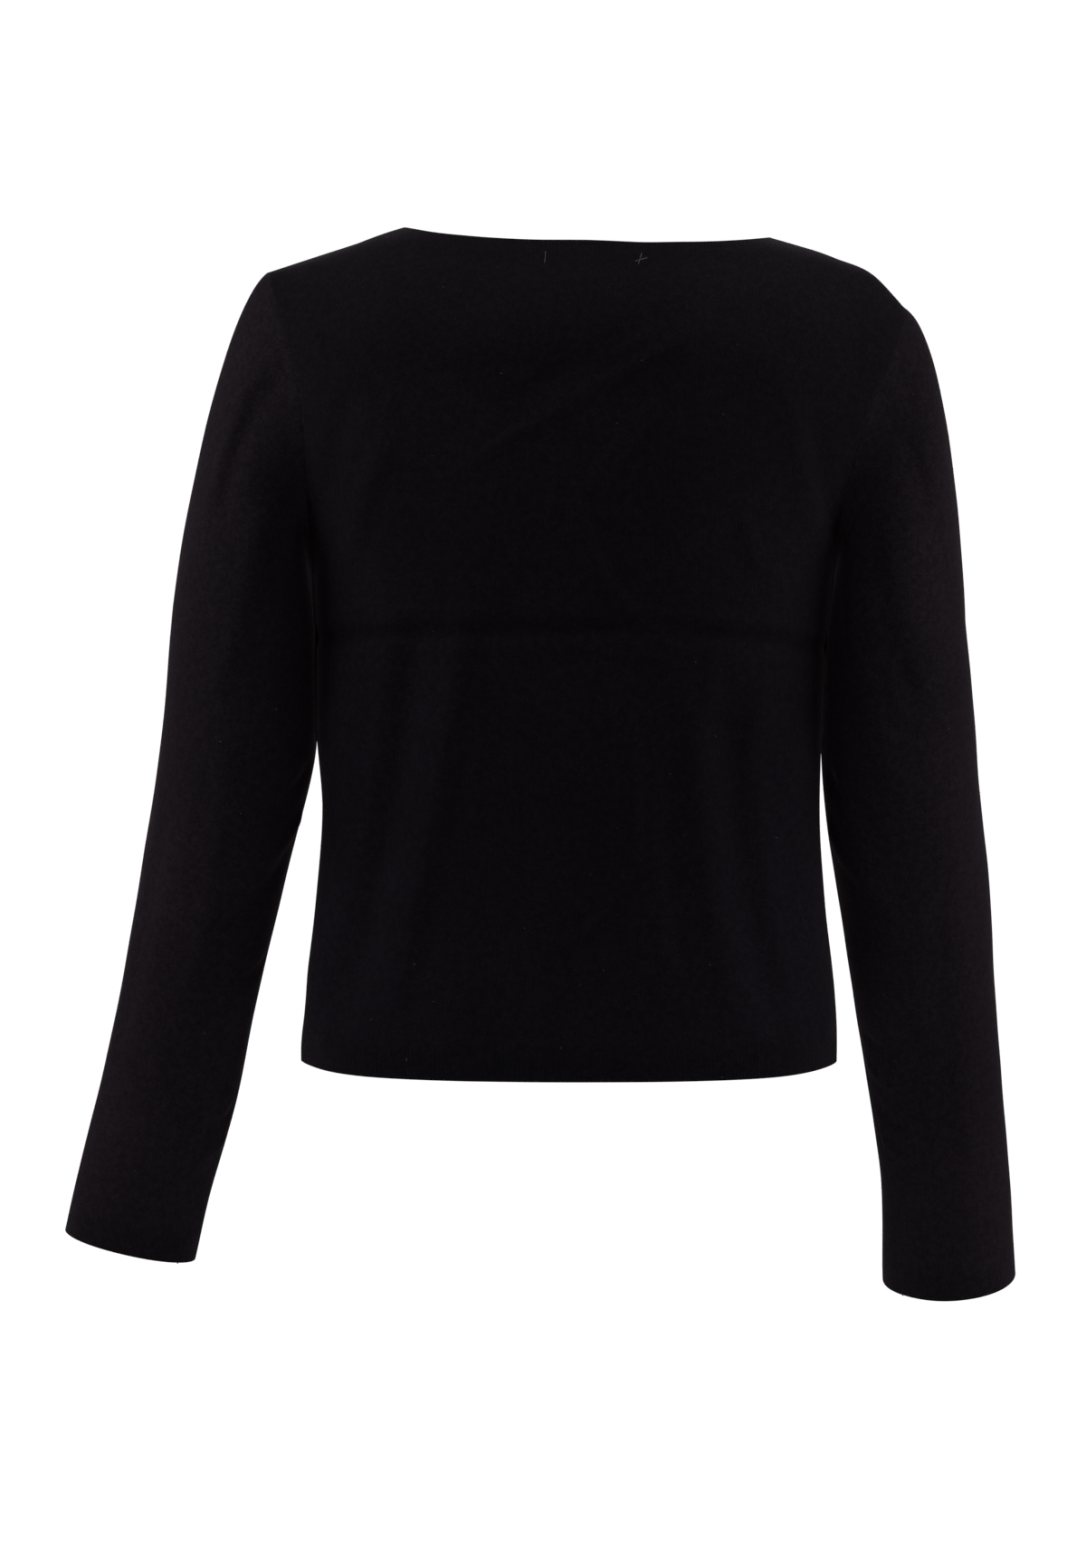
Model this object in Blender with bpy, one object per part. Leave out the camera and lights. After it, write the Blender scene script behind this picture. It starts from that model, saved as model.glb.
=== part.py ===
"""Fine-knit cardigan, filled out as if worn: back, two fronts and two set-in sleeves.

Metres, +Z up. The wearer faces -Y and the wearer's left is +X. The origin is midway between
the two points where the shoulder seams meet the neckline, which is where the wearer carries it.
Every piece is a cloth wall: its outer face comes from the forms below, and its inner face lies
one cloth thickness behind it.
"""

import math

import bmesh
import bpy
import numpy as np

# ---------------------------------------------------------------- cloth and seams
CLOTH = 0.0020              # thickness of the double-knit cloth
SEAM_GAP = 0.0003           # between two pieces that are sewn together
SLEEVE_CLEARANCE = 0.0006   # between a sleeve and the side of the body it hangs against

# ---------------------------------------------------------------- body
NECK_HALF_WIDTH = 0.1095    # from the centre to the neck end of a shoulder seam
BACK_NECK_DROP = 0.009
FRONT_NECK_DROP = 0.085
BACK_NECK_SHAPE = (2.5, 0.8)    # exponents of the neckline's curve: across it, then of its depth
FRONT_NECK_SHAPE = (2.2, 0.6)
UNDERARM = -0.205           # height of the bottom of both armholes
HEM = -0.502                # height of the hem at the centre back
HEM_SIDE_RISE = 0.004       # the hem is this much higher at the side seams
HEM_CORNER = 8              # exponent of that rise: the higher, the nearer to the side it begins
SHOULDER_ROLL = 0.090       # height over which the cloth rounds over the shoulder
BODY_SQUARENESS = 2.4       # 2 is an ellipse, more is flatter across front and back
FRONT_ARMHOLE_SCOOP = 0.007  # the front armhole is cut this much deeper than the back
OPENING_AT_NECK = 0.004     # gap between the two front edges, at the neck
OPENING_AT_HEM = 0.012      # and at the hem

# A row for each level of the body. Above the underarm, the widths are those of the back's armhole
# edge. edge is how far that edge stands off the side, as a squared share of the depth.
BODY_COLUMNS = ("height", "left", "right", "back_depth", "front_depth", "edge")
BODY = (
    (-0.530, 0.1705, 0.1505, 0.0950, 0.1050, 0.00),
    (-0.492, 0.1722, 0.1508, 0.0930, 0.1030, 0.00),
    (-0.459, 0.1677, 0.1483, 0.0910, 0.1010, 0.00),
    (-0.404, 0.1617, 0.1428, 0.0890, 0.1000, 0.00),
    (-0.350, 0.1590, 0.1403, 0.0880, 0.1010, 0.00),
    (-0.300, 0.1627, 0.1418, 0.0900, 0.1060, 0.00),
    (-0.241, 0.1637, 0.1453, 0.0950, 0.1130, 0.00),
    (-0.205, 0.1647, 0.1483, 0.0990, 0.1160, 0.00),
    (-0.160, 0.1662, 0.1525, 0.1020, 0.1150, 0.13),
    (-0.120, 0.1679, 0.1625, 0.1020, 0.1100, 0.19),
    (-0.094, 0.1707, 0.1720, 0.0995, 0.1040, 0.20),
    (-0.069, 0.1782, 0.1830, 0.0970, 0.0980, 0.20),
    (-0.045, 0.1842, 0.1910, 0.0930, 0.0920, 0.20),
    (-0.024, 0.1917, 0.1960, 0.0900, 0.0880, 0.20),
    (0.015, 0.2050, 0.2050, 0.0870, 0.0850, 0.20),
)

# The top of the body seen from behind, from the right shoulder tip to the left one. Between the
# neck points it is where the form would run on under the neckline.
RIDGE_COLUMNS = ("across", "height")
RIDGE = (
    (-0.1905, -0.0455),
    (-0.1710, -0.0255),
    (-0.1480, -0.0158),
    (-0.1095, -0.0040),
    (-0.0600, 0.0090),
    (0.0000, 0.0120),
    (0.0600, 0.0100),
    (0.1095, 0.0015),
    (0.1480, -0.0105),
    (0.1910, -0.0245),
)

# The largest soft folds of the back, each a ridge from its upper end to its lower one.
FOLD_COLUMNS = ("top_across", "top_height", "bottom_across", "bottom_height", "half_width", "rise")
BACK_FOLDS = (
    (0.083, -0.250, 0.135, -0.470, 0.032, 0.0030),
    (-0.083, -0.250, -0.105, -0.470, 0.032, 0.0030),
    (-0.061, -0.066, 0.070, -0.132, 0.024, 0.0020),
)
FRONT_FOLDS = (
    (0.075, -0.215, 0.110, -0.440, 0.030, 0.0030),
    (-0.070, -0.225, -0.098, -0.455, 0.030, 0.0030),
)

# ---------------------------------------------------------------- sleeves
# A row for each ring below the sleeve head, measured square to the sleeve. out is the distance of
# its middle from the body's centre plane, and y is negative to the front.
RING_COLUMNS = ("height", "out", "y", "half_width", "half_depth")
LEFT_RINGS = (
    (-0.235, 0.2045, 0.002, 0.0448, 0.054),
    (-0.310, 0.2100, -0.008, 0.0472, 0.051),
    (-0.352, 0.2193, -0.020, 0.0453, 0.046),
    (-0.407, 0.2318, -0.034, 0.0431, 0.040),
    (-0.463, 0.2440, -0.043, 0.0416, 0.036),
    (-0.519, 0.2559, -0.052, 0.0420, 0.032),
    (-0.576, 0.2713, -0.061, 0.0412, 0.029),
    (-0.619, 0.2815, -0.067, 0.0412, 0.027),
)
RIGHT_RINGS = (
    (-0.235, 0.1848, 0.002, 0.0428, 0.054),
    (-0.296, 0.1878, -0.008, 0.0464, 0.052),
    (-0.338, 0.1911, -0.020, 0.0473, 0.049),
    (-0.407, 0.2018, -0.047, 0.0461, 0.043),
    (-0.464, 0.2093, -0.064, 0.0437, 0.038),
    (-0.521, 0.2178, -0.081, 0.0417, 0.035),
    (-0.580, 0.2254, -0.098, 0.0405, 0.033),
    (-0.647, 0.2304, -0.121, 0.0420, 0.034),
)
# How far the sleeve turns out of the body's surface at the armhole seam, in degrees, from the
# shoulder tip to the underarm.
SEAM_TURN_COLUMNS = ("share_down", "left", "right")
SEAM_TURN = (
    (0.0, 15.0, 15.0),
    (0.5, 40.0, 40.0),
    (1.0, 92.0, 92.0),
)
# At the shoulder tip it drops instead, by this many degrees, as over a square shoulder.
SHOULDER_DROP = {1: 38.0, -1: 33.0}
DROP_SHARE = 0.30           # share of the way down by which the drop has died out
# How far the sleeve keeps that direction, and the first ring's, as a share of the way between.
SEAM_REACH = (
    (0.0, 0.48, 0.50),
    (0.5, 0.90, 0.90),
    (1.0, 0.35, 0.35),
)

# ---------------------------------------------------------------- mesh fineness
SHOULDER_ROWS = 7           # rows over the roll of the shoulder
ARMHOLE_ROWS = 7            # rows from there down to the underarm
SIDE_ROWS = 9               # rows from the underarm down to the hem
NECK_COLUMNS = 7            # columns from the centre to the neck point
SHOULDER_COLUMNS = 6        # columns from the neck point to the armhole
HEAD_RINGS = 9              # rings from the armhole seam to the first row of a ring table
LOWER_RINGS = 11            # rings from there to the cuff
SHARP_ANGLE = 50            # degrees between two faces above which their edge is sharp
JUST_INSIDE = 1e-6          # a place this little inside the neck point counts as the seam's end
NORMAL_NUDGE = 1e-4         # step for reading the slope of the body's form
LINE_NUDGE = 0.004          # step for reading the direction of a sleeve's middle line
FAR_OUT = 0.5               # a place this far to the side is well outside either armhole

CLOTH_COLOUR = (0.0042, 0.0036, 0.0046, 1.0)
CLOTH_ROUGHNESS = 0.85


def smooth(table, column, at):
    """Read one column of a table at the first column's values, on a smooth curve."""
    rows = np.array(sorted(table))
    knots = rows[:, 0]
    values = rows[:, column]
    slopes = np.gradient(values, knots)
    at = np.clip(np.asarray(at, dtype=float), knots[0], knots[-1])
    cell = np.clip(np.searchsorted(knots, at) - 1, 0, len(knots) - 2)
    span = knots[cell + 1] - knots[cell]
    f = (at - knots[cell]) / span
    rise = values[cell + 1] - values[cell]
    start = slopes[cell] * span
    end = slopes[cell + 1] * span
    square = 3 * rise - 2 * start - end
    cube = start + end - 2 * rise
    return values[cell] + start * f + square * f ** 2 + cube * f ** 3


def body_width(height, side):
    """Half width at a height, on the left (+1) or right (-1)."""
    column = BODY_COLUMNS.index("left" if side > 0 else "right")
    return smooth(BODY, column, height)


def ridge(across):
    """Height of the top of the body at a place across it."""
    return smooth(RIDGE, RIDGE_COLUMNS.index("height"), across)


def neckline(across, drop, shape):
    """Height of the neckline at a place across it."""
    share = np.clip(np.abs(across) / NECK_HALF_WIDTH, 0.0, 1.0)
    fall = drop * (1 - share ** shape[0]) ** shape[1]
    return ridge(np.sign(across) * NECK_HALF_WIDTH) * share - fall


def top_edge(across, face):
    """Height of a panel's top edge: the shoulder seam, then the neckline."""
    if face > 0:
        neck = neckline(across, BACK_NECK_DROP, BACK_NECK_SHAPE)
    else:
        neck = neckline(across, FRONT_NECK_DROP, FRONT_NECK_SHAPE)
    return np.where(np.abs(across) < NECK_HALF_WIDTH - JUST_INSIDE, neck, ridge(across))


def tip(side):
    """Place across and height of a shoulder tip."""
    return RIDGE[-1] if side > 0 else RIDGE[0]


def down_from_top(step):
    """Distance below the top edge after a number of steps down, closer together over the roll."""
    return SHOULDER_ROLL * (1 - math.cos(min(step / SHOULDER_ROWS, 1.0) * math.pi / 2))


def fold_rise(across, height, folds):
    """How far the soft folds lift the cloth at a place."""
    lift = 0.0
    for row in folds:
        fold = dict(zip(FOLD_COLUMNS, row))
        top = np.array((fold["top_across"], fold["top_height"]))
        run = np.array((fold["bottom_across"], fold["bottom_height"])) - top
        along = float(np.clip((np.array((across, height)) - top) @ run / (run @ run), 0.0, 1.0))
        away = float(np.linalg.norm(np.array((across, height)) - top - run * along))
        if away < fold["half_width"]:
            lift += fold["rise"] * (0.5 + 0.5 * math.cos(math.pi * away / fold["half_width"]))
    return lift


def armhole_width(height, side, face):
    """Half width of a panel at a height: to its side seam, or to its armhole above the underarm."""
    width = float(body_width(height, side))
    if face < 0 and height > UNDERARM:
        part = min(1.0, (height - UNDERARM) / (tip(side)[1] - UNDERARM))
        width -= FRONT_ARMHOLE_SCOOP * math.sin(math.pi * part)
    return width


def front_opening(height):
    """Half of the gap between the two front edges."""
    return (OPENING_AT_NECK + (OPENING_AT_HEM - OPENING_AT_NECK) * height / HEM) / 2


def body_depth(height, face):
    """Depth of the body's form in front of or behind the side seams."""
    return float(smooth(BODY, BODY_COLUMNS.index("back_depth" if face > 0 else "front_depth"), height))


def bulge(across, height, edge_height, side, face):
    """Squared share of the full depth that the form has at a place, falling to 0 at its outline."""
    width = armhole_width(edge_height, side, face)
    stand = 0.0
    if edge_height > UNDERARM:
        stand = float(smooth(BODY, BODY_COLUMNS.index("edge"), edge_height))
    below = min(1.0, (float(ridge(across)) - height) / SHOULDER_ROLL)
    roll = 1 - (1 - below) ** 2
    return roll * (1 - (1 - stand) * (abs(across) / width) ** BODY_SQUARENESS)


def body_point(share, step, side, face):
    """Point of the body's outer face.

    share runs from 0 at the centre to 1 at the side seam or armhole, step from 0 at the top edge
    to all the rows at the hem, side is +1 left or -1 right, and face is +1 back or -1 front.
    """
    tip_across, tip_height = tip(side)
    to_underarm = SHOULDER_ROWS + ARMHOLE_ROWS
    if step < to_underarm:
        rest = (tip_height - UNDERARM) - SHOULDER_ROLL
        to_go = 1 - max(0.0, step - SHOULDER_ROWS) / ARMHOLE_ROWS
        fallen = down_from_top(step) + rest * (1 - to_go ** 2)
        edge_height = tip_height - fallen
    else:
        edge_height = UNDERARM + (HEM - UNDERARM) * (step - to_underarm) / SIDE_ROWS
    half_opening = front_opening(edge_height) if face < 0 else 0.0
    height = edge_height
    if step < to_underarm:
        top_across = half_opening + (abs(tip_across) - half_opening) * share
        top = float(top_edge(np.array(side * top_across), face))
        height = top + (UNDERARM - top) * fallen / (tip_height - UNDERARM)
    else:
        height += HEM_SIDE_RISE * share ** HEM_CORNER * (step - to_underarm) / SIDE_ROWS
    width = armhole_width(edge_height, side, face)
    across = side * (half_opening + (width - half_opening) * share)
    fullness = math.sqrt(max(0.0, bulge(across, height, edge_height, side, face)))
    lift = fold_rise(across, height, BACK_FOLDS if face > 0 else FRONT_FOLDS) * fullness
    return np.array((across, face * (SEAM_GAP / 2 + body_depth(height, face) * fullness + lift), height))


def body_normal(point, side, face):
    """Outward unit normal of the body's form at a point of it."""
    def inside(across, y, height):
        depth = (abs(y) - SEAM_GAP / 2) / body_depth(height, face)
        return bulge(across, height, height, side, face) - depth ** 2

    slope = np.zeros(3)
    for axis in range(3):
        ahead = np.array(point)
        behind = np.array(point)
        ahead[axis] += NORMAL_NUDGE
        behind[axis] -= NORMAL_NUDGE
        slope[axis] = inside(*behind) - inside(*ahead)
    return slope / np.linalg.norm(slope)


def panel_shares(side, face):
    """Shares from the centre edge to the side, with a column on the neck point."""
    half_opening = front_opening(tip(side)[1]) if face < 0 else 0.0
    neck_share = (NECK_HALF_WIDTH - half_opening) / (abs(tip(side)[0]) - half_opening)
    neck_angle = math.asin(neck_share)
    inner = np.linspace(0.0, neck_angle, NECK_COLUMNS + 1)
    outer = np.linspace(neck_angle, math.pi / 2, SHOULDER_COLUMNS + 1)
    return np.sin(np.concatenate((inner, outer[1:])))


def panel_faces(stations, face):
    """Outer and inner points of a panel: rows down from the top, a column for each station."""
    steps = range(SHOULDER_ROWS + ARMHOLE_ROWS + SIDE_ROWS + 1)
    outer = np.array([[body_point(share, step, side, face) for side, share in stations] for step in steps])
    normals = np.array([[body_normal(point, side, face) for point, (side, share) in zip(row, stations)]
                        for row in outer])
    inner = outer - CLOTH * normals
    inner[:, :, 1] = face * np.maximum(face * inner[:, :, 1], SEAM_GAP / 2)
    return outer, inner


def add_wall(name, outer, inner, tube, material):
    """Make one closed wall between two grids of points. A tube's columns run all the way round.

    Its edges are split from low outside to high inside, so that two edges that meet fit together.
    """
    rows, columns = outer.shape[:2]
    mesh = bpy.data.meshes.new(name)
    cloth = bmesh.new()
    skins = []
    for skin in (outer, inner):
        skins.append([[cloth.verts.new(point) for point in row] for row in skin])
    for skin in skins:
        for row in range(rows - 1):
            for column in range(columns if tube else columns - 1):
                after = (column + 1) % columns
                upper, lower = skin[row], skin[row + 1]
                cloth.faces.new((upper[column], upper[after], lower[after], lower[column]))
    front, back = skins
    rim = [((row, column), (row, (column + 1) % columns))
           for row in (0, rows - 1) for column in range(columns if tube else columns - 1)]
    if not tube:
        rim += [((row, column), (row + 1, column)) for column in (0, columns - 1) for row in range(rows - 1)]
    for one, other in rim:
        low, high = sorted((one, other), key=lambda place: outer[place][2])
        cloth.faces.new((front[low[0]][low[1]], front[high[0]][high[1]], back[high[0]][high[1]]))
        cloth.faces.new((front[low[0]][low[1]], back[high[0]][high[1]], back[low[0]][low[1]]))
    bmesh.ops.recalc_face_normals(cloth, faces=cloth.faces)
    cloth.to_mesh(mesh)
    cloth.free()
    mesh.materials.append(material)
    mesh.shade_smooth()
    mesh.set_sharp_from_angle(angle=math.radians(SHARP_ANGLE))
    wall = bpy.data.objects.new(name, mesh)
    bpy.context.scene.collection.objects.link(wall)
    return wall


def armhole(side):
    """The armhole's edge from the shoulder tip down the back, then up the front to the tip.

    Gives the points of its outer face, the cloth's normals there, the directions in which the
    cloth would run on into the armhole, and each point's share of the way down.
    """
    steps = range(SHOULDER_ROWS + ARMHOLE_ROWS + 1)
    halves = []
    for face in (1, -1):
        points = np.array([body_point(1.0, step, side, face) for step in steps])
        normals = np.array([body_normal(point, side, face) for point in points])
        run = np.concatenate(((0.0,), np.cumsum(np.linalg.norm(np.diff(points, axis=0), axis=1))))
        halves.append((points, normals, run / run[-1]))
    joined = []
    for back, front in zip(*halves):
        tip_value = (back[0] + front[0]) / 2
        underarm_value = (back[-1] + front[-1]) / 2
        joined.append(np.concatenate(([tip_value], back[1:-1], [underarm_value], front[-2:0:-1])))
    points, normals, down = joined
    normals /= np.linalg.norm(normals, axis=1, keepdims=True)
    along = np.roll(points, -1, axis=0) - np.roll(points, 1, axis=0)
    onward = np.cross(normals, along)
    onward /= np.linalg.norm(onward, axis=1, keepdims=True)
    into_hole = points.mean(axis=0) - points + np.array((FAR_OUT * side, 0.0, 0.0))
    onward *= np.where(np.sum(onward * into_hole, axis=1) < 0, -1.0, 1.0)[:, None]
    return points, normals, onward, down


def sleeve_ring(rings, side, height, angles):
    """One ring of a sleeve, square to its middle line, and the line's direction there."""
    def middle(at):
        out, y = (float(smooth(rings, RING_COLUMNS.index(name), at)) for name in ("out", "y"))
        return np.array((out * side, y, at))

    line = middle(max(height - LINE_NUDGE, rings[-1][0])) - middle(min(height + LINE_NUDGE, rings[0][0]))
    line /= np.linalg.norm(line)
    outward = np.array((side, 0.0, 0.0)) - line * line[0] * side
    outward /= np.linalg.norm(outward)
    backward = np.cross(outward, line) * side
    half_width, half_depth = (float(smooth(rings, RING_COLUMNS.index(name), height))
                              for name in ("half_width", "half_depth"))
    turned = (half_width * np.cos(angles)[:, None] * outward
              + half_depth * np.sin(angles)[:, None] * backward)
    return middle(height) + turned, line


def clear_of_body(point, side, clearance):
    """Move a point of a sleeve outwards until it is clear of the side of the body."""
    across, y, height = point
    face = 1 if y > 0 else -1
    depth = float(smooth(BODY, BODY_COLUMNS.index("back_depth" if face > 0 else "front_depth"), height))
    width = float(body_width(height, side))
    stand = float(smooth(BODY, BODY_COLUMNS.index("edge"), height)) if height > UNDERARM else 0.0
    reach = (1 - min(1.0, abs(y) / depth) ** 2) / (1 - stand)
    wall = width * min(1.0, reach ** (1 / BODY_SQUARENESS)) + clearance
    return np.array((side * max(side * across, wall), y, height))


def sleeve_faces(rings, side):
    """Outer and inner points of a sleeve: rings down from the armhole, a column for each point."""
    points, normals, onward, down = armhole(side)
    column = SEAM_TURN_COLUMNS.index("left" if side > 0 else "right")
    eased = (1 - np.cos(down * math.pi)) / 2
    turn = np.radians(smooth(SEAM_TURN, column, eased))[:, None]
    reach = smooth(SEAM_REACH, column, eased)[:, None]
    drop = math.radians(SHOULDER_DROP[side])
    over_tip = np.array((side * math.cos(drop), 0.0, -math.sin(drop)))
    from_tip = np.clip(eased / DROP_SHARE, 0.0, 1.0)[:, None]
    blend = from_tip ** 2 * (3 - 2 * from_tip)
    leaving = (np.cos(turn) * onward + np.sin(turn) * normals) * blend + over_tip * (1 - blend)
    leaving /= np.linalg.norm(leaving, axis=1, keepdims=True)
    count = len(points)
    angles = np.where(np.arange(count) <= count // 2, down * math.pi, (2 - down) * math.pi)
    top_ring, line = sleeve_ring(rings, side, rings[0][0], angles)
    first = points + SEAM_GAP * onward
    chord = np.linalg.norm(top_ring - first, axis=1, keepdims=True)
    outer = [first]
    for ring in range(1, HEAD_RINGS + 1):
        w = ring / HEAD_RINGS
        head = ((2 * w ** 3 - 3 * w ** 2 + 1) * first + (w ** 3 - 2 * w ** 2 + w) * chord * reach * leaving
                + (3 * w ** 2 - 2 * w ** 3) * top_ring + (w ** 3 - w ** 2) * chord * reach * line)
        clearance = SLEEVE_CLEARANCE * min(1.0, 2 * w)
        outer.append(np.array([clear_of_body(point, side, clearance) for point in head]))
    for height in np.linspace(rings[0][0], rings[-1][0], LOWER_RINGS + 1)[1:]:
        ring, line = sleeve_ring(rings, side, height, angles)
        outer.append(np.array([clear_of_body(point, side, SLEEVE_CLEARANCE) for point in ring]))
    outer = np.array(outer)
    around = np.roll(outer, -1, axis=1) - np.roll(outer, 1, axis=1)
    outwards = np.cross(np.gradient(outer, axis=0), around) * side
    outwards /= np.linalg.norm(outwards, axis=2, keepdims=True)
    outwards[0] = normals
    return outer, outer - CLOTH * outwards


def cloth_material():
    """Matt near-black cotton knit."""
    material = bpy.data.materials.new("black_knit")
    material.use_nodes = True
    shader = material.node_tree.nodes["Principled BSDF"]
    shader.inputs["Base Color"].default_value = CLOTH_COLOUR
    shader.inputs["Roughness"].default_value = CLOTH_ROUGHNESS
    shader.inputs["Metallic"].default_value = 0.0
    return material


def main():
    for existing in list(bpy.data.objects):
        bpy.data.objects.remove(existing)
    knit = cloth_material()
    back_left = [(1, share) for share in panel_shares(1, 1)]
    back_right = [(-1, share) for share in panel_shares(-1, 1)]
    add_wall("back", *panel_faces(back_right[:0:-1] + back_left, 1), False, knit)
    for name, side in (("front_left", 1), ("front_right", -1)):
        add_wall(name, *panel_faces([(side, share) for share in panel_shares(side, -1)], -1), False, knit)
    add_wall("sleeve_left", *sleeve_faces(LEFT_RINGS, 1), True, knit)
    add_wall("sleeve_right", *sleeve_faces(RIGHT_RINGS, -1), True, knit)


main()
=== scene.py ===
"""Black fine-knit cardigan, filled out as if worn, in its finished cloth.

Every panel is a thin shell on the form of its solid, with the soft folds, the fold line left by
storage, the seams and the rolled edges of the knit. Metres, +Z up; the wearer faces -Y and the
wearer's left is +X. Heights are below the neck points of the shoulder seams.
"""

import functools
import math

import bmesh
import bpy
import numpy as np
from bpy.props import FloatProperty, FloatVectorProperty, IntProperty, PointerProperty
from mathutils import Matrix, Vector


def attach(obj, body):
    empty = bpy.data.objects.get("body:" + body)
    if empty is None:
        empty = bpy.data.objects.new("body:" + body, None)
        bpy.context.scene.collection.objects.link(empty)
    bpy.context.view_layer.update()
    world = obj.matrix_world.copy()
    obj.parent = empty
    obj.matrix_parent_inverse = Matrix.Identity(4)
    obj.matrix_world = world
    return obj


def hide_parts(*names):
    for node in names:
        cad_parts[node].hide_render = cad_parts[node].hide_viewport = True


bl_info = {
    "name": "Knit cardigan",
    "version": (1, 0, 0),
    "blender": (4, 5, 0),
    "location": "3D View > Sidebar > Cardigan",
    "description": "Builds a fine-knit cardigan with its seams, folds, nap and studio",
    "category": "Object",
}

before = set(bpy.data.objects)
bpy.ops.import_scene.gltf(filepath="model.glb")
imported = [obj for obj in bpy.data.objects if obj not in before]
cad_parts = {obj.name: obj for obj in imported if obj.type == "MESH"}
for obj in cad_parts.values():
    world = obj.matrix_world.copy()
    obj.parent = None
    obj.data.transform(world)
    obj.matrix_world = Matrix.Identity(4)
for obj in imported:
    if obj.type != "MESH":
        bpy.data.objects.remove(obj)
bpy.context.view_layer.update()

MM = 0.001

# ---------------------------------------------------------------- the body's form
NECK_HALF_WIDTH = 0.1095
BACK_NECK_DROP = 0.009
FRONT_NECK_DROP = 0.085
BACK_NECK_SHAPE = (2.5, 0.8)
FRONT_NECK_SHAPE = (2.2, 0.6)
UNDERARM = -0.205
HEM = -0.502
HEM_SIDE_RISE = 0.004
SHOULDER_ROLL = 0.090
BODY_SQUARENESS = 2.4
FRONT_ARMHOLE_SCOOP = 0.007
OPENING_AT_NECK = 0.004
OPENING_AT_HEM = 0.012
SEAM_GAP = 0.00004          # narrower than between the solids, so that less light shows through
SLEEVE_CLEARANCE = 0.0006

BODY_COLUMNS = ("height", "left", "right", "back_depth", "front_depth", "edge")
BODY = (
    (-0.530, 0.1705, 0.1505, 0.0950, 0.1050, 0.00),
    (-0.492, 0.1722, 0.1508, 0.0930, 0.1030, 0.00),
    (-0.459, 0.1677, 0.1483, 0.0910, 0.1010, 0.00),
    (-0.404, 0.1617, 0.1428, 0.0890, 0.1000, 0.00),
    (-0.350, 0.1590, 0.1403, 0.0880, 0.1010, 0.00),
    (-0.300, 0.1627, 0.1418, 0.0900, 0.1060, 0.00),
    (-0.241, 0.1637, 0.1453, 0.0950, 0.1130, 0.00),
    (-0.205, 0.1647, 0.1483, 0.0990, 0.1160, 0.00),
    (-0.160, 0.1662, 0.1525, 0.1020, 0.1150, 0.13),
    (-0.120, 0.1679, 0.1625, 0.1020, 0.1100, 0.19),
    (-0.094, 0.1707, 0.1720, 0.0995, 0.1040, 0.20),
    (-0.069, 0.1782, 0.1830, 0.0970, 0.0980, 0.20),
    (-0.045, 0.1842, 0.1910, 0.0930, 0.0920, 0.20),
    (-0.024, 0.1917, 0.1960, 0.0900, 0.0880, 0.20),
    (0.015, 0.2050, 0.2050, 0.0870, 0.0850, 0.20),
)
RIDGE_COLUMNS = ("across", "height")
RIDGE = (
    (-0.1905, -0.0455),
    (-0.1710, -0.0255),
    (-0.1480, -0.0158),
    (-0.1095, -0.0040),
    (-0.0600, 0.0090),
    (0.0000, 0.0120),
    (0.0600, 0.0100),
    (0.1095, 0.0015),
    (0.1480, -0.0105),
    (0.1910, -0.0245),
)

# ---------------------------------------------------------------- the sleeves' form
RING_COLUMNS = ("height", "out", "y", "half_width", "half_depth")
LEFT_RINGS = (
    (-0.235, 0.2045, 0.002, 0.0448, 0.054),
    (-0.310, 0.2100, -0.008, 0.0472, 0.051),
    (-0.352, 0.2193, -0.020, 0.0453, 0.046),
    (-0.407, 0.2318, -0.034, 0.0431, 0.040),
    (-0.463, 0.2440, -0.043, 0.0416, 0.036),
    (-0.519, 0.2559, -0.052, 0.0420, 0.032),
    (-0.576, 0.2713, -0.061, 0.0412, 0.029),
    (-0.619, 0.2815, -0.067, 0.0412, 0.027),
)
RIGHT_RINGS = (
    (-0.235, 0.1848, 0.002, 0.0428, 0.054),
    (-0.296, 0.1878, -0.008, 0.0464, 0.052),
    (-0.338, 0.1911, -0.020, 0.0473, 0.049),
    (-0.407, 0.2018, -0.047, 0.0461, 0.043),
    (-0.464, 0.2093, -0.064, 0.0437, 0.038),
    (-0.521, 0.2178, -0.081, 0.0417, 0.035),
    (-0.580, 0.2254, -0.098, 0.0405, 0.033),
    (-0.647, 0.2304, -0.121, 0.0420, 0.034),
)
# Down each armhole from the shoulder tip: the angle at which the sleeve turns out of the cloth's
# face, and how far it runs on that way, as a share of the distance to its first ring.
SEAM_COLUMNS = ("down", "left", "right")
SEAM_TURN = (
    (0.0, 15.0, 15.0),
    (0.5, 40.0, 40.0),
    (1.0, 92.0, 92.0),
)
SEAM_REACH = (
    (0.0, 0.48, 0.50),
    (0.5, 0.90, 0.90),
    (1.0, 0.12, 0.12),
)
SHOULDER_DROP = {1: 38.0, -1: 33.0}     # degrees below level at the left and the right shoulder tip
DROP_SHARE = 0.30           # share of the armhole over which that gives way to the turn

# ---------------------------------------------------------------- folds, listed one by one
SEAM_FADE = 0.010           # folds die out this near a seam
BODY_FADE = 0.012           # and where a sleeve comes this near the body
FOLD_TAPER = 0.22           # share of a fold's length over which each end dies out
WAVES = ((0.110, 0.00030), (0.060, 0.00014), (0.030, 0.00006))    # length and height of each
WAVE_SEED = 7
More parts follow.
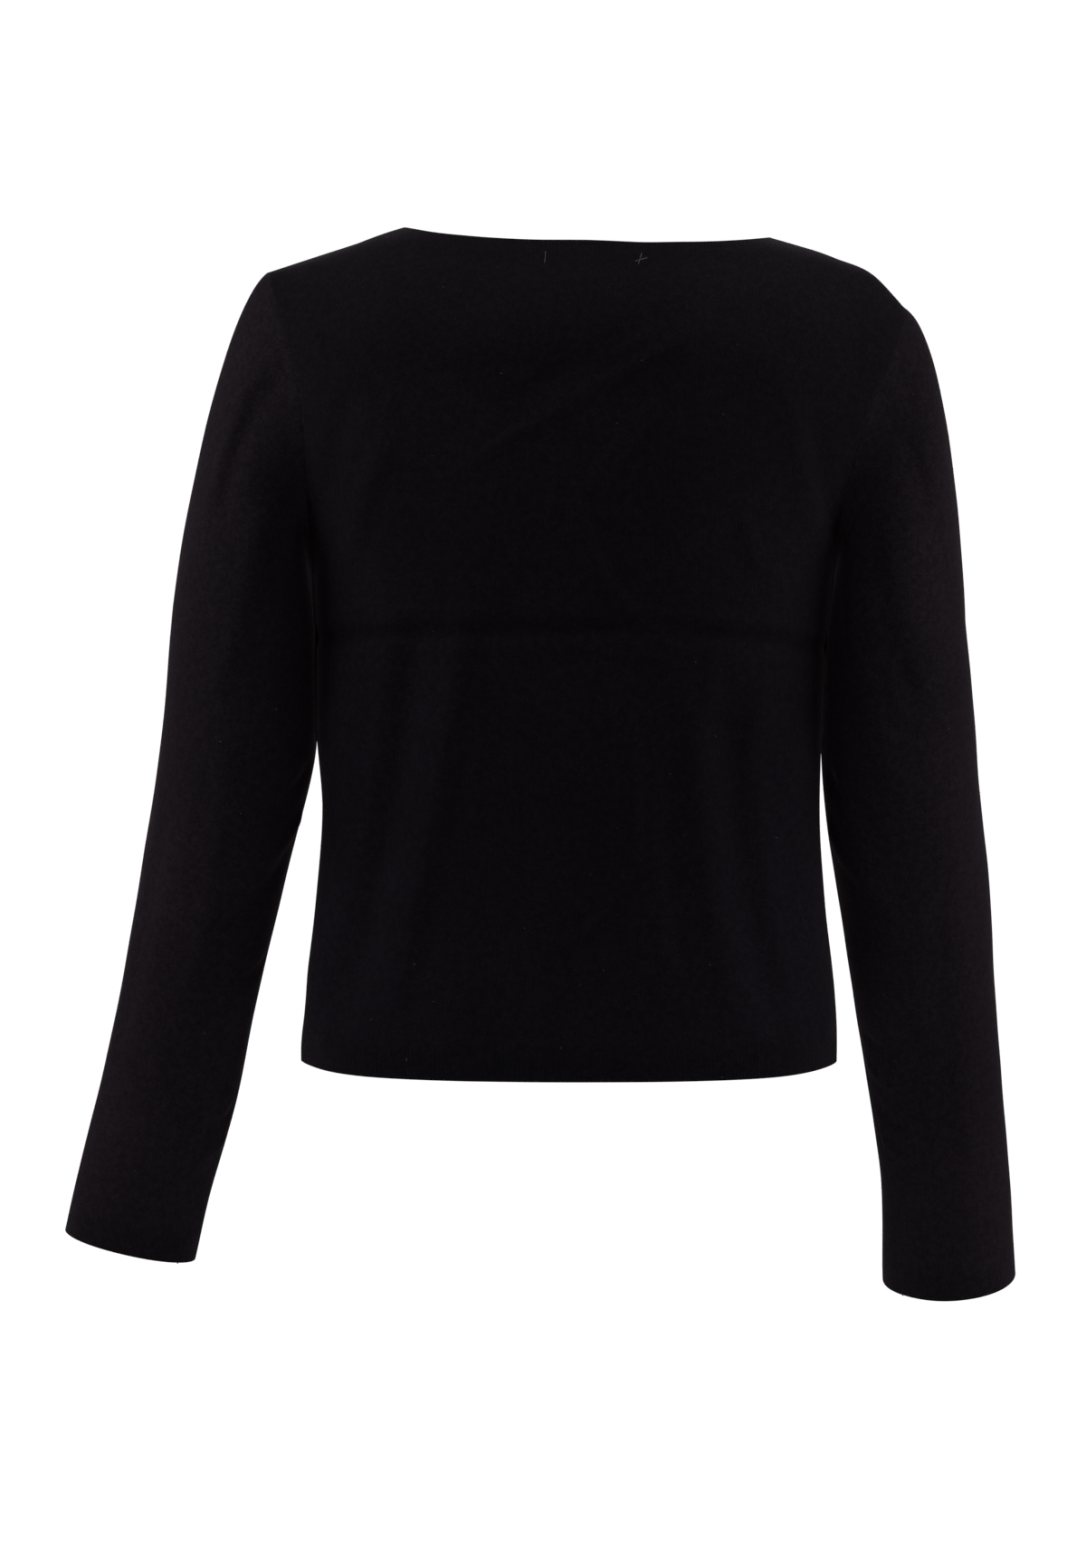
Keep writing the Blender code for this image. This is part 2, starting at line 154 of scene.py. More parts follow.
# Each runs from its first point to its second, seen square on to the panel: across and height.
# bow bends its middle sideways, and a rise below nothing is a trough.
FOLD_COLUMNS = ("across", "height", "to_across", "to_height", "half_width", "rise", "bow")
BACK_FOLDS = (
    (0.069, -0.205, 0.120, -0.480, 0.0145, 0.0026, -0.005),
    (0.099, -0.216, 0.151, -0.488, 0.0160, -0.0042, -0.007),
    (0.138, -0.240, 0.170, -0.494, 0.0160, 0.0034, -0.003),
    (-0.059, -0.258, -0.088, -0.480, 0.0135, 0.0018, 0.005),
    (-0.081, -0.252, -0.117, -0.494, 0.0155, -0.0027, 0.008),
    (-0.119, -0.276, -0.148, -0.500, 0.0160, 0.0023, 0.003),
    (-0.046, -0.300, -0.058, -0.452, 0.0110, -0.0011, 0.003),
    (-0.027, -0.290, -0.026, -0.390, 0.0080, 0.0009, 0.000),
    (-0.028, -0.370, 0.024, -0.432, 0.0065, 0.0010, -0.008),
    (-0.080, -0.057, 0.080, -0.149, 0.0080, 0.0015, 0.002),
    (-0.048, -0.052, 0.050, -0.112, 0.0110, -0.0010, 0.002),
    (-0.044, -0.100, 0.004, -0.166, 0.0090, 0.0020, 0.002),
    (0.010, -0.150, -0.034, -0.236, 0.0080, 0.0016, 0.010),
    (0.164, -0.060, 0.112, -0.106, 0.0060, -0.0020, -0.002),
    (0.150, -0.080, 0.108, -0.116, 0.0110, 0.0009, -0.002),
    (0.113, -0.115, 0.147, -0.218, 0.0120, 0.0017, 0.002),
    (0.136, -0.092, 0.156, -0.176, 0.0120, -0.0014, 0.002),
    (-0.120, -0.090, -0.136, -0.200, 0.0150, 0.0012, 0.002),
    (-0.092, -0.046, -0.142, -0.086, 0.0200, -0.0012, 0.002),
    (-0.128, -0.100, -0.150, -0.190, 0.0120, -0.0013, 0.002),
    (0.0400, -0.170, 0.0390, -0.204, 0.009, 0.0010, 0.000),
    (-0.0900, -0.168, -0.0990, -0.206, 0.009, 0.0011, 0.000),
    (-0.0740, -0.250, -0.0700, -0.285, 0.009, 0.0009, 0.000),
    (-0.1030, -0.262, -0.1000, -0.304, 0.010, 0.0009, 0.000),
    (0.1500, -0.462, 0.1590, -0.492, 0.006, 0.0009, 0.001),
    (-0.1410, -0.455, -0.1450, -0.490, 0.006, 0.0008, 0.001),
)
# The line across the middle, pressed in while it lay folded, with the cloth swollen beside it.
BACK_PRESSED_LINES = (
    (0.205, -0.2456, -0.058, -0.2358, 0.0090, -0.0021, -0.0020),
    (-0.032, -0.2364, -0.190, -0.2556, 0.0085, -0.0019, -0.0015),
)
BACK_SWELLINGS = (
    (0.166, -0.2326, -0.148, -0.2384, 0.0090, 0.0005, -0.0080),
    (0.166, -0.2536, -0.148, -0.2594, 0.0090, 0.0005, -0.0080),
)
FRONT_FOLDS = (
    (0.075, -0.215, 0.110, -0.440, 0.030, 0.0030, 0.004),
    (-0.070, -0.225, -0.098, -0.455, 0.030, 0.0030, -0.003),
    (0.150, -0.190, 0.070, -0.225, 0.016, 0.0016, 0.004),
    (-0.138, -0.185, -0.060, -0.228, 0.016, 0.0015, -0.003),
    (0.140, -0.080, 0.095, -0.150, 0.014, 0.0014, 0.002),
    (-0.135, -0.085, -0.088, -0.158, 0.014, 0.0013, -0.002),
    (0.035, -0.280, 0.028, -0.440, 0.020, -0.0012, 0.003),
    (-0.034, -0.290, -0.030, -0.450, 0.020, -0.0012, -0.003),
)
FRONT_PRESSED_LINES = (
    (0.172, -0.2440, -0.030, -0.2380, 0.0080, -0.0018, 0.003),
    (-0.158, -0.2460, 0.030, -0.2380, 0.0080, -0.0018, -0.003),
)
# On a sleeve the across values are angles round it: 0 on its outside, 90 at the back, 180 on its
# inside and 270 at the front. Widths and bows are still lengths on the cloth.
LEFT_SLEEVE_FOLDS = (
    (60.0, -0.050, 45.0, -0.175, 0.014, 0.0012, 0.002),
    (128.0, -0.140, 98.0, -0.262, 0.012, -0.0016, 0.003),
    (105.0, -0.155, 72.0, -0.285, 0.015, 0.0015, 0.003),
    (165.0, -0.318, 108.0, -0.352, 0.009, -0.0019, 0.003),
    (172.0, -0.345, 118.0, -0.382, 0.010, 0.0018, 0.003),
    (160.0, -0.372, 100.0, -0.418, 0.010, -0.0015, 0.004),
    (80.0, -0.290, 98.0, -0.490, 0.015, 0.0011, 0.003),
    (176.0, -0.438, 132.0, -0.453, 0.007, -0.0013, 0.001),
    (150.0, -0.450, 122.0, -0.585, 0.012, -0.0012, 0.003),
    (172.0, -0.530, 130.0, -0.547, 0.007, -0.0012, 0.001),
    (170.0, -0.549, 132.0, -0.564, 0.007, 0.0010, 0.001),
    (42.0, -0.330, 30.0, -0.520, 0.016, -0.0011, 0.003),
    (250.0, -0.312, 200.0, -0.348, 0.010, -0.0020, 0.003),
    (246.0, -0.350, 196.0, -0.386, 0.010, -0.0018, 0.003),
    (250.0, -0.332, 202.0, -0.366, 0.010, 0.0016, 0.003),
    (305.0, -0.120, 268.0, -0.262, 0.014, 0.0015, 0.003),
    (282.0, -0.400, 262.0, -0.570, 0.013, -0.0012, 0.003),
)
RIGHT_SLEEVE_FOLDS = (
    (66.0, -0.065, 50.0, -0.170, 0.014, 0.0012, 0.002),
    (139.0, -0.200, 90.0, -0.352, 0.015, 0.0021, 0.003),
    (120.0, -0.172, 74.0, -0.300, 0.012, -0.0015, 0.003),
    (150.0, -0.300, 92.0, -0.460, 0.016, 0.0014, 0.004),
    (165.0, -0.318, 108.0, -0.356, 0.009, -0.0019, 0.003),
    (172.0, -0.350, 115.0, -0.396, 0.010, 0.0016, 0.003),
    (164.0, -0.486, 118.0, -0.503, 0.006, -0.0013, 0.001),
    (168.0, -0.505, 122.0, -0.524, 0.006, 0.0012, 0.001),
    (160.0, -0.530, 120.0, -0.548, 0.006, -0.0011, 0.001),
    (158.0, -0.552, 124.0, -0.570, 0.006, 0.0010, 0.001),
    (70.0, -0.380, 88.0, -0.600, 0.016, -0.0011, 0.003),
    (252.0, -0.316, 202.0, -0.352, 0.010, -0.0020, 0.003),
    (246.0, -0.352, 196.0, -0.392, 0.010, -0.0018, 0.003),
    (250.0, -0.334, 200.0, -0.370, 0.010, 0.0016, 0.003),
    (302.0, -0.118, 270.0, -0.252, 0.014, 0.0014, 0.003),
    (278.0, -0.410, 262.0, -0.580, 0.013, -0.0012, 0.003),
)
# Where the seam along each sleeve's underarm lies: its angle round the sleeve at a height.
UNDERARM_SEAM_COLUMNS = ("height", "left", "right")
UNDERARM_SEAM = (
    (-0.660, 138.0, 138.0),
    (-0.600, 142.0, 148.0),
    (-0.500, 168.0, 170.0),
    (-0.400, 175.0, 176.0),
    (-0.200, 180.0, 180.0),
)

# ---------------------------------------------------------------- lint and thread ends
# Seen from behind: across and height.
LINT = (
    (0.2017, -0.3662),
    (0.2327, -0.4725),
    (-0.0774, -0.1117),
    (0.0916, -0.1373),
    (-0.0174, -0.3526),
    (0.0371, -0.4126),
    (-0.1264, -0.4071),
    (-0.1717, -0.2017),
    (0.0834, -0.0382),
    (-0.1019, -0.2220),
)
# Seen from behind, too: where each starts and where it points.
THREAD_ENDS = (
    (0.0258, -0.0238, 0.0231, -0.0172),
    (-0.0280, -0.0232, -0.0364, -0.0229),
    (-0.0293, -0.0240, -0.0316, -0.0206),
)

# ---------------------------------------------------------------- fineness of the meshes
FORM_LINES = 240            # lines of a form for each of its stretches, before it is respaced
NECK_COLUMNS = 58           # of a half panel, from its centre to the neck point
SHOULDER_COLUMNS = 44       # and from there to the armhole and the side seam
ARMHOLE_ROWS = 84           # from the top edge to the underarm
SIDE_ROWS = 122             # from there to the hem
SLEEVE_COLUMNS = 116
SLEEVE_ROWS = 232
SOURCE_STEP = 3             # small things are spread over every third line of a mesh
NORMAL_NUDGE = 1e-4         # step for reading the slope of the body's form
LINE_NUDGE = 0.004          # step for reading the direction of a sleeve's middle line
JUST_INSIDE = 1e-6
HEM_CORNER = 8              # exponent of the hem's rise towards the side seams
FAR_OUT = 0.5               # a place this far to the side is well outside either armhole
NECK_STEP = 4               # the distance to the neckline is measured to every fourth point of it


def read(table, column, at):
    """Read one column of a table at the first column's values, on a smooth curve."""
    rows = np.array(sorted(table))
    knots = rows[:, 0]
    values = rows[:, column]
    slopes = np.gradient(values, knots)
    at = np.clip(np.asarray(at, dtype=float), knots[0], knots[-1])
    cell = np.clip(np.searchsorted(knots, at) - 1, 0, len(knots) - 2)
    span = knots[cell + 1] - knots[cell]
    f = (at - knots[cell]) / span
    rise = values[cell + 1] - values[cell]
    start = slopes[cell] * span
    end = slopes[cell + 1] * span
    square = 3 * rise - 2 * start - end
    cube = start + end - 2 * rise
    return values[cell] + start * f + square * f ** 2 + cube * f ** 3


def tip(side):
    """Place across and height of a shoulder tip."""
    return RIDGE[-1] if side > 0 else RIDGE[0]


def top_edge(across, face):
    """Height of a panel's top edge: the shoulder seam, then the neckline."""
    drop = BACK_NECK_DROP if face > 0 else FRONT_NECK_DROP
    shape = BACK_NECK_SHAPE if face > 0 else FRONT_NECK_SHAPE
    share = np.clip(np.abs(across) / NECK_HALF_WIDTH, 0.0, 1.0)
    neck = ridge(np.sign(across) * NECK_HALF_WIDTH) * share
    neck = neck - drop * (1 - share ** shape[0]) ** shape[1]
    return np.where(np.abs(across) < NECK_HALF_WIDTH - JUST_INSIDE, neck, ridge(across))


def ridge(across):
    """Height of the top of the body at a place across it."""
    return read(RIDGE, RIDGE_COLUMNS.index("height"), across)


def front_opening(height):
    """Half of the gap between the two front edges."""
    return (OPENING_AT_NECK + (OPENING_AT_HEM - OPENING_AT_NECK) * height / HEM) / 2


def armhole_width(height, side, face):
    """Half width of a panel at a height: to its side seam, or to its armhole above the underarm."""
    width = read(BODY, BODY_COLUMNS.index("left" if side > 0 else "right"), height)
    if face < 0:
        part = np.clip((height - UNDERARM) / (tip(side)[1] - UNDERARM), 0.0, 1.0)
        width = width - FRONT_ARMHOLE_SCOOP * np.sin(math.pi * part)
    return width


def body_depth(height, face):
    """Depth of the body's form in front of or behind the side seams."""
    return read(BODY, BODY_COLUMNS.index("back_depth" if face > 0 else "front_depth"), height)


def fullness(across, height, edge_height, side, face):
    """Squared share of the full depth that the body's form has at a place."""
    width = armhole_width(edge_height, side, face)
    edge = read(BODY, BODY_COLUMNS.index("edge"), edge_height)
    stand = np.where(edge_height > UNDERARM, edge, 0.0)
    below = np.minimum((ridge(across) - height) / SHOULDER_ROLL, 1.0)
    outline = (np.abs(across) / width) ** BODY_SQUARENESS
    return (1 - (1 - below) ** 2) * (1 - (1 - stand) * outline)


def body_form(share, drop, side, face):
    """Points of a half panel's outer face.

    share runs from 0 at the centre edge to 1 at the side seam or armhole, and drop from 0 at the
    top edge through 1 where the roll of the shoulder ends and 2 at the underarm to 3 at the hem.
    """
    tip_across, tip_height = tip(side)
    rolled = SHOULDER_ROLL * (1 - np.cos(np.clip(drop, 0.0, 1.0) * math.pi / 2))
    rest = (tip_height - UNDERARM) - SHOULDER_ROLL
    fallen = rolled + rest * (1 - (1 - np.clip(drop - 1, 0.0, 1.0)) ** 2)
    below_arm = np.clip(drop - 2, 0.0, 1.0)
    edge_height = tip_height - fallen + (HEM - UNDERARM) * below_arm
    half_opening = front_opening(edge_height) if face < 0 else 0.0
    top_across = half_opening + (abs(tip_across) - half_opening) * share
    top = top_edge(side * top_across, face)
    height = top + (UNDERARM - top) * fallen / (tip_height - UNDERARM)
    height = height + (HEM - UNDERARM + HEM_SIDE_RISE * share ** HEM_CORNER) * below_arm
    width = armhole_width(edge_height, side, face)
    across = side * (half_opening + (width - half_opening) * share)
    full = np.maximum(fullness(across, height, edge_height, side, face), 0.0)
    depth = SEAM_GAP / 2 + body_depth(height, face) * np.sqrt(full)
    return np.stack((across, face * depth, height), axis=-1)


def form_normals(points, side, face):
    """Outward unit normals of the body's form at points of it."""
    def inside(place):
        across, y, height = np.moveaxis(place, -1, 0)
        depth = (np.abs(y) - SEAM_GAP / 2) / body_depth(height, face)
        return fullness(across, height, height, side, face) - depth ** 2

    slopes = [inside(points - step) - inside(points + step) for step in np.eye(3) * NORMAL_NUDGE]
    return unit(np.stack(slopes, axis=-1))


def respace(grid, axis, breaks, counts):
    """Move the lines of a grid to even distances between the lines at the breaks, along one axis.

    A grid's first three channels are places, and the others are carried along.
    """
    grid = np.moveaxis(grid, axis, 0)
    run = run_along(grid[..., :3], 0)
    aims = []
    for first, last, count in zip(breaks[:-1], breaks[1:], counts):
        share = np.linspace(0.0, 1.0, count + 1)[1 if aims else 0:]
        aims.append(run[first] + (run[last] - run[first]) * share[:, None])
    aims = np.concatenate(aims)
    moved = np.empty((len(aims),) + grid.shape[1:])
    for line in range(grid.shape[1]):
        for channel in range(grid.shape[2]):
            moved[:, line, channel] = np.interp(aims[:, line], run[:, line], grid[:, line, channel])
    return np.moveaxis(moved, 0, axis)


def run_along(points, axis):
    """Distance run along an axis of a grid of points, from its first line."""
    steps = np.linalg.norm(np.diff(points, axis=axis), axis=-1)
    start = np.zeros_like(np.take(steps, [0], axis=axis))
    return np.concatenate((start, np.cumsum(steps, axis=axis)), axis=axis)


def unit(vectors):
    return vectors / np.linalg.norm(vectors, axis=-1, keepdims=True)


def ease(share):
    """Go from 0 to 1 without a corner at either end."""
    share = np.clip(share, 0.0, 1.0)
    return share * share * (3 - 2 * share)


class Skin:
    """The outer face of one piece of cloth: points, normals, the cloth's own measures and edges."""

    def __init__(self, points, outward, across, up, free_distance, pressed):
        self.points = points
        self.outward = outward
        self.across = across
        self.up = up
        self.free_distance = free_distance
        self.pressed = pressed


def half_shares(side, face):
    """Shares of a half panel from its centre edge to its side, with one on the neck point."""
    half_opening = front_opening(tip(side)[1]) if face < 0 else 0.0
    neck_share = (NECK_HALF_WIDTH - half_opening) / (abs(tip(side)[0]) - half_opening)
    neck_angle = math.asin(neck_share)
    inner = np.linspace(0.0, neck_angle, FORM_LINES + 1)
    outer = np.linspace(neck_angle, math.pi / 2, FORM_LINES + 1)
    return np.sin(np.concatenate((inner, outer[1:])))


def half_panel(side, face):
    """Grid of one half of a panel, from its centre edge to its side."""
    shares = half_shares(side, face)
    drops = np.linspace(0.0, 3.0, 3 * FORM_LINES + 1)
    share, drop = np.meshgrid(shares, drops)
    grid = body_form(share, drop, side, face)
    grid = respace(grid, 1, (0, FORM_LINES, 2 * FORM_LINES), (NECK_COLUMNS, SHOULDER_COLUMNS))
    return respace(grid, 0, (0, 2 * FORM_LINES, 3 * FORM_LINES), (ARMHOLE_ROWS, SIDE_ROWS))


def outward_of(points, towards):
    """Unit normals of a grid, turned so that their mean points the given way."""
    normals = unit(np.cross(np.gradient(points, axis=1), np.gradient(points, axis=0)))
    return normals if np.sum(normals * towards) > 0 else -normals


@functools.lru_cache(maxsize=None)
def panel_skin(name):
    """Skin of the back or of a front, from the top edge down and across from one side."""
    if name == "back":
        face = 1
        points = np.concatenate((half_panel(-1, face)[:, :0:-1], half_panel(1, face)), axis=1)
        centre = NECK_COLUMNS + SHOULDER_COLUMNS
        folds = BACK_FOLDS + BACK_SWELLINGS
        pressed_lines = BACK_PRESSED_LINES
        necks = slice(SHOULDER_COLUMNS, SHOULDER_COLUMNS + 2 * NECK_COLUMNS + 1)
    else:
        face = -1
        points = half_panel(1 if name == "front_left" else -1, face)
        centre = 0
        folds = FRONT_FOLDS
        pressed_lines = FRONT_PRESSED_LINES
        necks = slice(0, NECK_COLUMNS + 1)
    outward = outward_of(points, np.array((0.0, face, 0.0)))
    row_run = run_along(points, 1)
    column_run = run_along(points, 0)
    to_first = row_run
    to_last = row_run[:, -1:] - row_run
    to_top = column_run
    to_hem = column_run[-1] - column_run
    neck_line = points[0, necks][::NECK_STEP]
    to_neck = np.min(np.linalg.norm(points[:, :, None] - neck_line, axis=-1), axis=-1)
    on_seam = np.ones(points.shape[1])
    on_seam[necks] = 0.0
    to_shoulder = np.where(on_seam > 0, to_top, 1.0)
    if name == "back":
        seam_distance = np.minimum(np.minimum(to_first, to_last), to_shoulder)
        free_distance = np.minimum(to_neck, to_hem)
    else:
        seam_distance = np.minimum(to_last, to_shoulder)
        free_distance = np.minimum(np.minimum(to_neck, to_hem), to_first)
    dip = fold_lift(points[..., 0], points[..., 2], pressed_lines, None)
    lift = fold_lift(points[..., 0], points[..., 2], folds, None) + waviness(points) + dip
    lift = lift * ease(seam_distance / SEAM_FADE)
    across = (row_run - row_run[:, centre:centre + 1]) * (1 if name != "front_right" else -1)
    # The last measure marks the pressed lines, where the knit's colour takes painted shade.
    return Skin(points + outward * lift[..., None], outward, across, to_hem, free_distance, dip / dip.min())


def armhole(side):
    """The armhole's edge from the shoulder tip down the back, then up the front to the tip.

    Gives the points of its outer face, the cloth's normals there, the directions in which the
    cloth would run on into the armhole, and each point's share of the way down.
    """
    drops = np.linspace(0.0, 2.0, 2 * FORM_LINES + 1)
    halves = []
    for face in (1, -1):
        points = body_form(np.ones_like(drops), drops, side, face)
        run = run_along(points, 0)
        halves.append((points, form_normals(points, side, face), run / run[-1]))
    joined = []
    for back, front in zip(*halves):
        tip_value = (back[0] + front[0]) / 2
        underarm_value = (back[-1] + front[-1]) / 2
        joined.append(np.concatenate(([tip_value], back[1:-1], [underarm_value], front[-2:0:-1])))
    points, normals, down = joined
    normals = unit(normals)
    onward = unit(np.cross(normals, np.roll(points, -1, axis=0) - np.roll(points, 1, axis=0)))
    into_hole = points.mean(axis=0) - points + np.array((FAR_OUT * side, 0.0, 0.0))
    onward *= np.where(np.sum(onward * into_hole, axis=1) < 0, -1.0, 1.0)[:, None]
    return points, normals, onward, down


def sleeve_ring(rings, side, height, angles):
    """One ring of a sleeve, square to its middle line, and the line's direction there."""
    def middle(at):
        out, y = (float(read(rings, RING_COLUMNS.index(name), at)) for name in ("out", "y"))
        return np.array((out * side, y, at))

    below = max(height - LINE_NUDGE, rings[-1][0])
    above = min(height + LINE_NUDGE, rings[0][0])
    line = unit(middle(below) - middle(above))
    outward = unit(np.array((side, 0.0, 0.0)) - line * line[0] * side)
    backward = np.cross(outward, line) * side
    half_width = float(read(rings, RING_COLUMNS.index("half_width"), height))
    half_depth = float(read(rings, RING_COLUMNS.index("half_depth"), height))
    turned = half_width * np.cos(angles)[:, None] * outward
    turned = turned + half_depth * np.sin(angles)[:, None] * backward
    return middle(height) + turned, line


def body_side(points, side):
    """How far out the side of the body reaches, beside points of a sleeve."""
    y = points[..., 1]
    height = points[..., 2]
    depth = np.where(y > 0, body_depth(height, 1), body_depth(height, -1))
    edge = read(BODY, BODY_COLUMNS.index("edge"), height)
    stand = np.where(height > UNDERARM, edge, 0.0)
    reach = (1 - np.minimum(np.abs(y) / depth, 1.0) ** 2) / (1 - stand)
    return armhole_width(height, side, 1) * np.minimum(reach, 1.0) ** (1 / BODY_SQUARENESS)


def clear_of_body(points, side, clearance):
    """Move points of a sleeve outwards until they are clear of the side of the body."""
    out = np.maximum(side * points[..., 0], body_side(points, side) + clearance)
    return np.stack((side * out, points[..., 1], points[..., 2]), axis=-1)


def sleeve_tube(rings, side):
    """Grid of a sleeve's rings down from the armhole, with each column's angle round it."""
    points, normals, onward, down = armhole(side)
    column = SEAM_COLUMNS.index("left" if side > 0 else "right")
    eased = (1 - np.cos(down * math.pi)) / 2
    turn = np.radians(read(SEAM_TURN, column, eased))[:, None]
    reach = read(SEAM_REACH, column, eased)[:, None]
    drop = math.radians(SHOULDER_DROP[side])
    over_tip = np.array((side * math.cos(drop), 0.0, -math.sin(drop)))
    blend = ease(eased / DROP_SHARE)[:, None]
    leaving = unit((np.cos(turn) * onward + np.sin(turn) * normals) * blend + over_tip * (1 - blend))
    count = len(points)
    angles = np.where(np.arange(count) <= count // 2, down, 2 - down) * math.pi
    top_ring, line = sleeve_ring(rings, side, rings[0][0], angles)
    first = points + SEAM_GAP * onward
    pull = np.linalg.norm(top_ring - first, axis=1, keepdims=True) * reach
    tube = []
    for w in np.linspace(0.0, 1.0, FORM_LINES + 1):
        head = (2 * w ** 3 - 3 * w ** 2 + 1) * first + (w ** 3 - 2 * w ** 2 + w) * pull * leaving
        head = head + (3 * w ** 2 - 2 * w ** 3) * top_ring + (w ** 3 - w ** 2) * pull * line
        clearance = SLEEVE_CLEARANCE * min(1.0, 2 * w)
        tube.append(clear_of_body(head, side, clearance) if w else first)
    for height in np.linspace(rings[0][0], rings[-1][0], 2 * FORM_LINES + 1)[1:]:
        ring, line = sleeve_ring(rings, side, height, angles)
        tube.append(clear_of_body(ring, side, SLEEVE_CLEARANCE))
    return np.array(tube), np.degrees(angles)


def cut_open(tube, angles, side):
    """Cut a sleeve's tube open along its underarm seam, so that it is a grid from edge to edge."""
    count = len(angles)
    column = UNDERARM_SEAM_COLUMNS.index("left" if side > 0 else "right")
    opened = []
    for ring in tube:
        seam = float(read(UNDERARM_SEAM, column, ring[count // 2, 2]))
        start = np.interp(seam, angles, np.arange(count))
        places = start + np.arange(count + 1)
        line = [np.interp(places, np.arange(count), ring[:, axis], period=count) for axis in range(3)]
        turns = np.interp(places % count, np.arange(count + 1), np.append(angles, 360.0))
        line.append(turns + 360.0 * (places >= count))
        opened.append(np.stack(line, axis=-1))
    return np.array(opened)


@functools.lru_cache(maxsize=None)
def sleeve_skin(name):
    """Skin of a sleeve, from the armhole down and round from one edge of its seam to the other."""
    side = 1 if name == "sleeve_left" else -1
    rings = LEFT_RINGS if side > 0 else RIGHT_RINGS
    grid = cut_open(*sleeve_tube(rings, side), side)
    columns = grid.shape[1]
    grid = respace(grid, 1, (0, columns - 1), (SLEEVE_COLUMNS,))
    grid = respace(grid, 0, (0, len(grid) - 1), (SLEEVE_ROWS,))
    points = grid[..., :3]
    angles = grid[..., 3]
    wrapped = np.concatenate((points[:, -2:-1], points, points[:, 1:2]), axis=1)
    centre_line = points.mean(axis=1, keepdims=True)
    outward = np.cross(np.gradient(wrapped, axis=1)[:, 1:-1], np.gradient(points, axis=0))
    outward = unit(outward)
    if np.sum(outward * (points - centre_line)) < 0:
        outward = -outward
    row_run = run_along(points, 1)
    column_run = run_along(points, 0)
    to_cuff = column_run[-1] - column_run
    folds = LEFT_SLEEVE_FOLDS if side > 0 else RIGHT_SLEEVE_FOLDS
    girth = row_run[:, -1:].mean()
    lift = fold_lift(angles / 360.0 * girth, points[..., 2], folds, girth) + waviness(points)
    clear = side * points[..., 0] - body_side(points, side)
    lift = lift * ease(column_run / SEAM_FADE)
    lift = np.where(lift > 0, lift * ease(clear / BODY_FADE), lift)
    outer_line = np.array([np.interp(360.0, angle, run) for angle, run in zip(angles, row_run)])
    across = row_run - outer_line[:, None]
    points = points + outward * lift[..., None]
    # The two edges of the seam stand half a gap apart from each other.
    along_row = unit(points[:, 1] - points[:, 0])
    points[:, 0] += along_row * SEAM_GAP / 2
    points[:, -1] -= along_row * SEAM_GAP / 2
    return Skin(points, outward, across, to_cuff, to_cuff, np.zeros_like(across))


def skin_of(name):
    return sleeve_skin(name) if name.startswith("sleeve") else panel_skin(name)


def fold_lift(across, height, folds, girth):
    """How far the soft folds lift the cloth, or sink it. With a girth, across runs round a tube."""
    lift = np.zeros_like(across)
    for row in folds:
        fold = dict(zip(FOLD_COLUMNS, row))
        around = 1.0 if girth is None else girth / 360.0
        start = np.array((fold["across"] * around, fold["height"]))
        run = np.array((fold["to_across"] * around, fold["to_height"])) - start
        sideways = across - start[0]
        if girth is not None:
            middle = run[0] / 2
            sideways = (sideways - middle + girth / 2) % girth - girth / 2 + middle
        down = height - start[1]
        length = np.linalg.norm(run)
        along = (sideways * run[0] + down * run[1]) / length ** 2
        aside = (down * run[0] - sideways * run[1]) / length
        aside = aside - fold["bow"] * np.sin(math.pi * np.clip(along, 0.0, 1.0))
        bell = ease(1 - np.abs(aside) / fold["half_width"])
        ends = ease(along / FOLD_TAPER) * ease((1 - along) / FOLD_TAPER)
        lift = lift + fold["rise"] * bell * ends
    return lift


def waviness(points):
    """The slow unevenness of cloth that nothing presses flat, the same on both sides of a seam."""
    draw = np.random.RandomState(WAVE_SEED)
    lift = np.zeros(points.shape[:-1])
    for length, height in WAVES:
        for direction in unit(draw.normal(size=(3, 3)) * np.array((1.0, 1.0, 0.45))):
            phase = draw.uniform(0.0, 2 * math.pi)
            lift = lift + height * np.sin(points @ direction * 2 * math.pi / length + phase)
    return lift


# ---------------------------------------------------------------- shader and node helpers
class Wire:
    """A socket in a shader tree that can be used in sums, which add the Math nodes they need."""

    def __init__(self, tree, socket):
        self.tree = tree
        self.socket = socket

    def node(self, kind, settings=None, inputs=None, output=0):
        """Add a node: its settings first, then its sockets' values or links."""
        made = self.tree.nodes.new(kind)
        for name, value in (settings or {}).items():
            setattr(made, name, value)
        for name, value in (inputs or {}).items():
            if isinstance(value, Wire):
                self.tree.links.new(value.socket, made.inputs[name])
            else:
                made.inputs[name].default_value = value
        return Wire(self.tree, made.outputs[output])

    def sum(self, operation, *values):
        return self.node("ShaderNodeMath", {"operation": operation}, dict(enumerate(values)))

    def __add__(self, other):
        return self.sum("ADD", self, other)

    def __radd__(self, other):
        return self.sum("ADD", other, self)

    def __sub__(self, other):
        return self.sum("SUBTRACT", self, other)

    def __rsub__(self, other):
        return self.sum("SUBTRACT", other, self)

    def __mul__(self, other):
        return self.sum("MULTIPLY", self, other)

    def __rmul__(self, other):
        return self.sum("MULTIPLY", other, self)

    def __truediv__(self, other):
        return self.sum("DIVIDE", self, other)

    def __rtruediv__(self, other):
        return self.sum("DIVIDE", other, self)

    def cosine(self):
        return self.sum("COSINE", self)

    def fold_back(self, length):
        """Run up to a length and back down again, over and over."""
        return self.sum("PINGPONG", self, length)

    def spread(self, least, more):
        """Turn a share into the least and up to so much more."""
        return least + more * self

    def ease_between(self, low, high):
        """Go from 0 at low to 1 at high without a corner."""
        settings = {"interpolation_type": "SMOOTHSTEP"}
        return self.node("ShaderNodeMapRange", settings, {"Value": self, "From Min": low, "From Max": high})


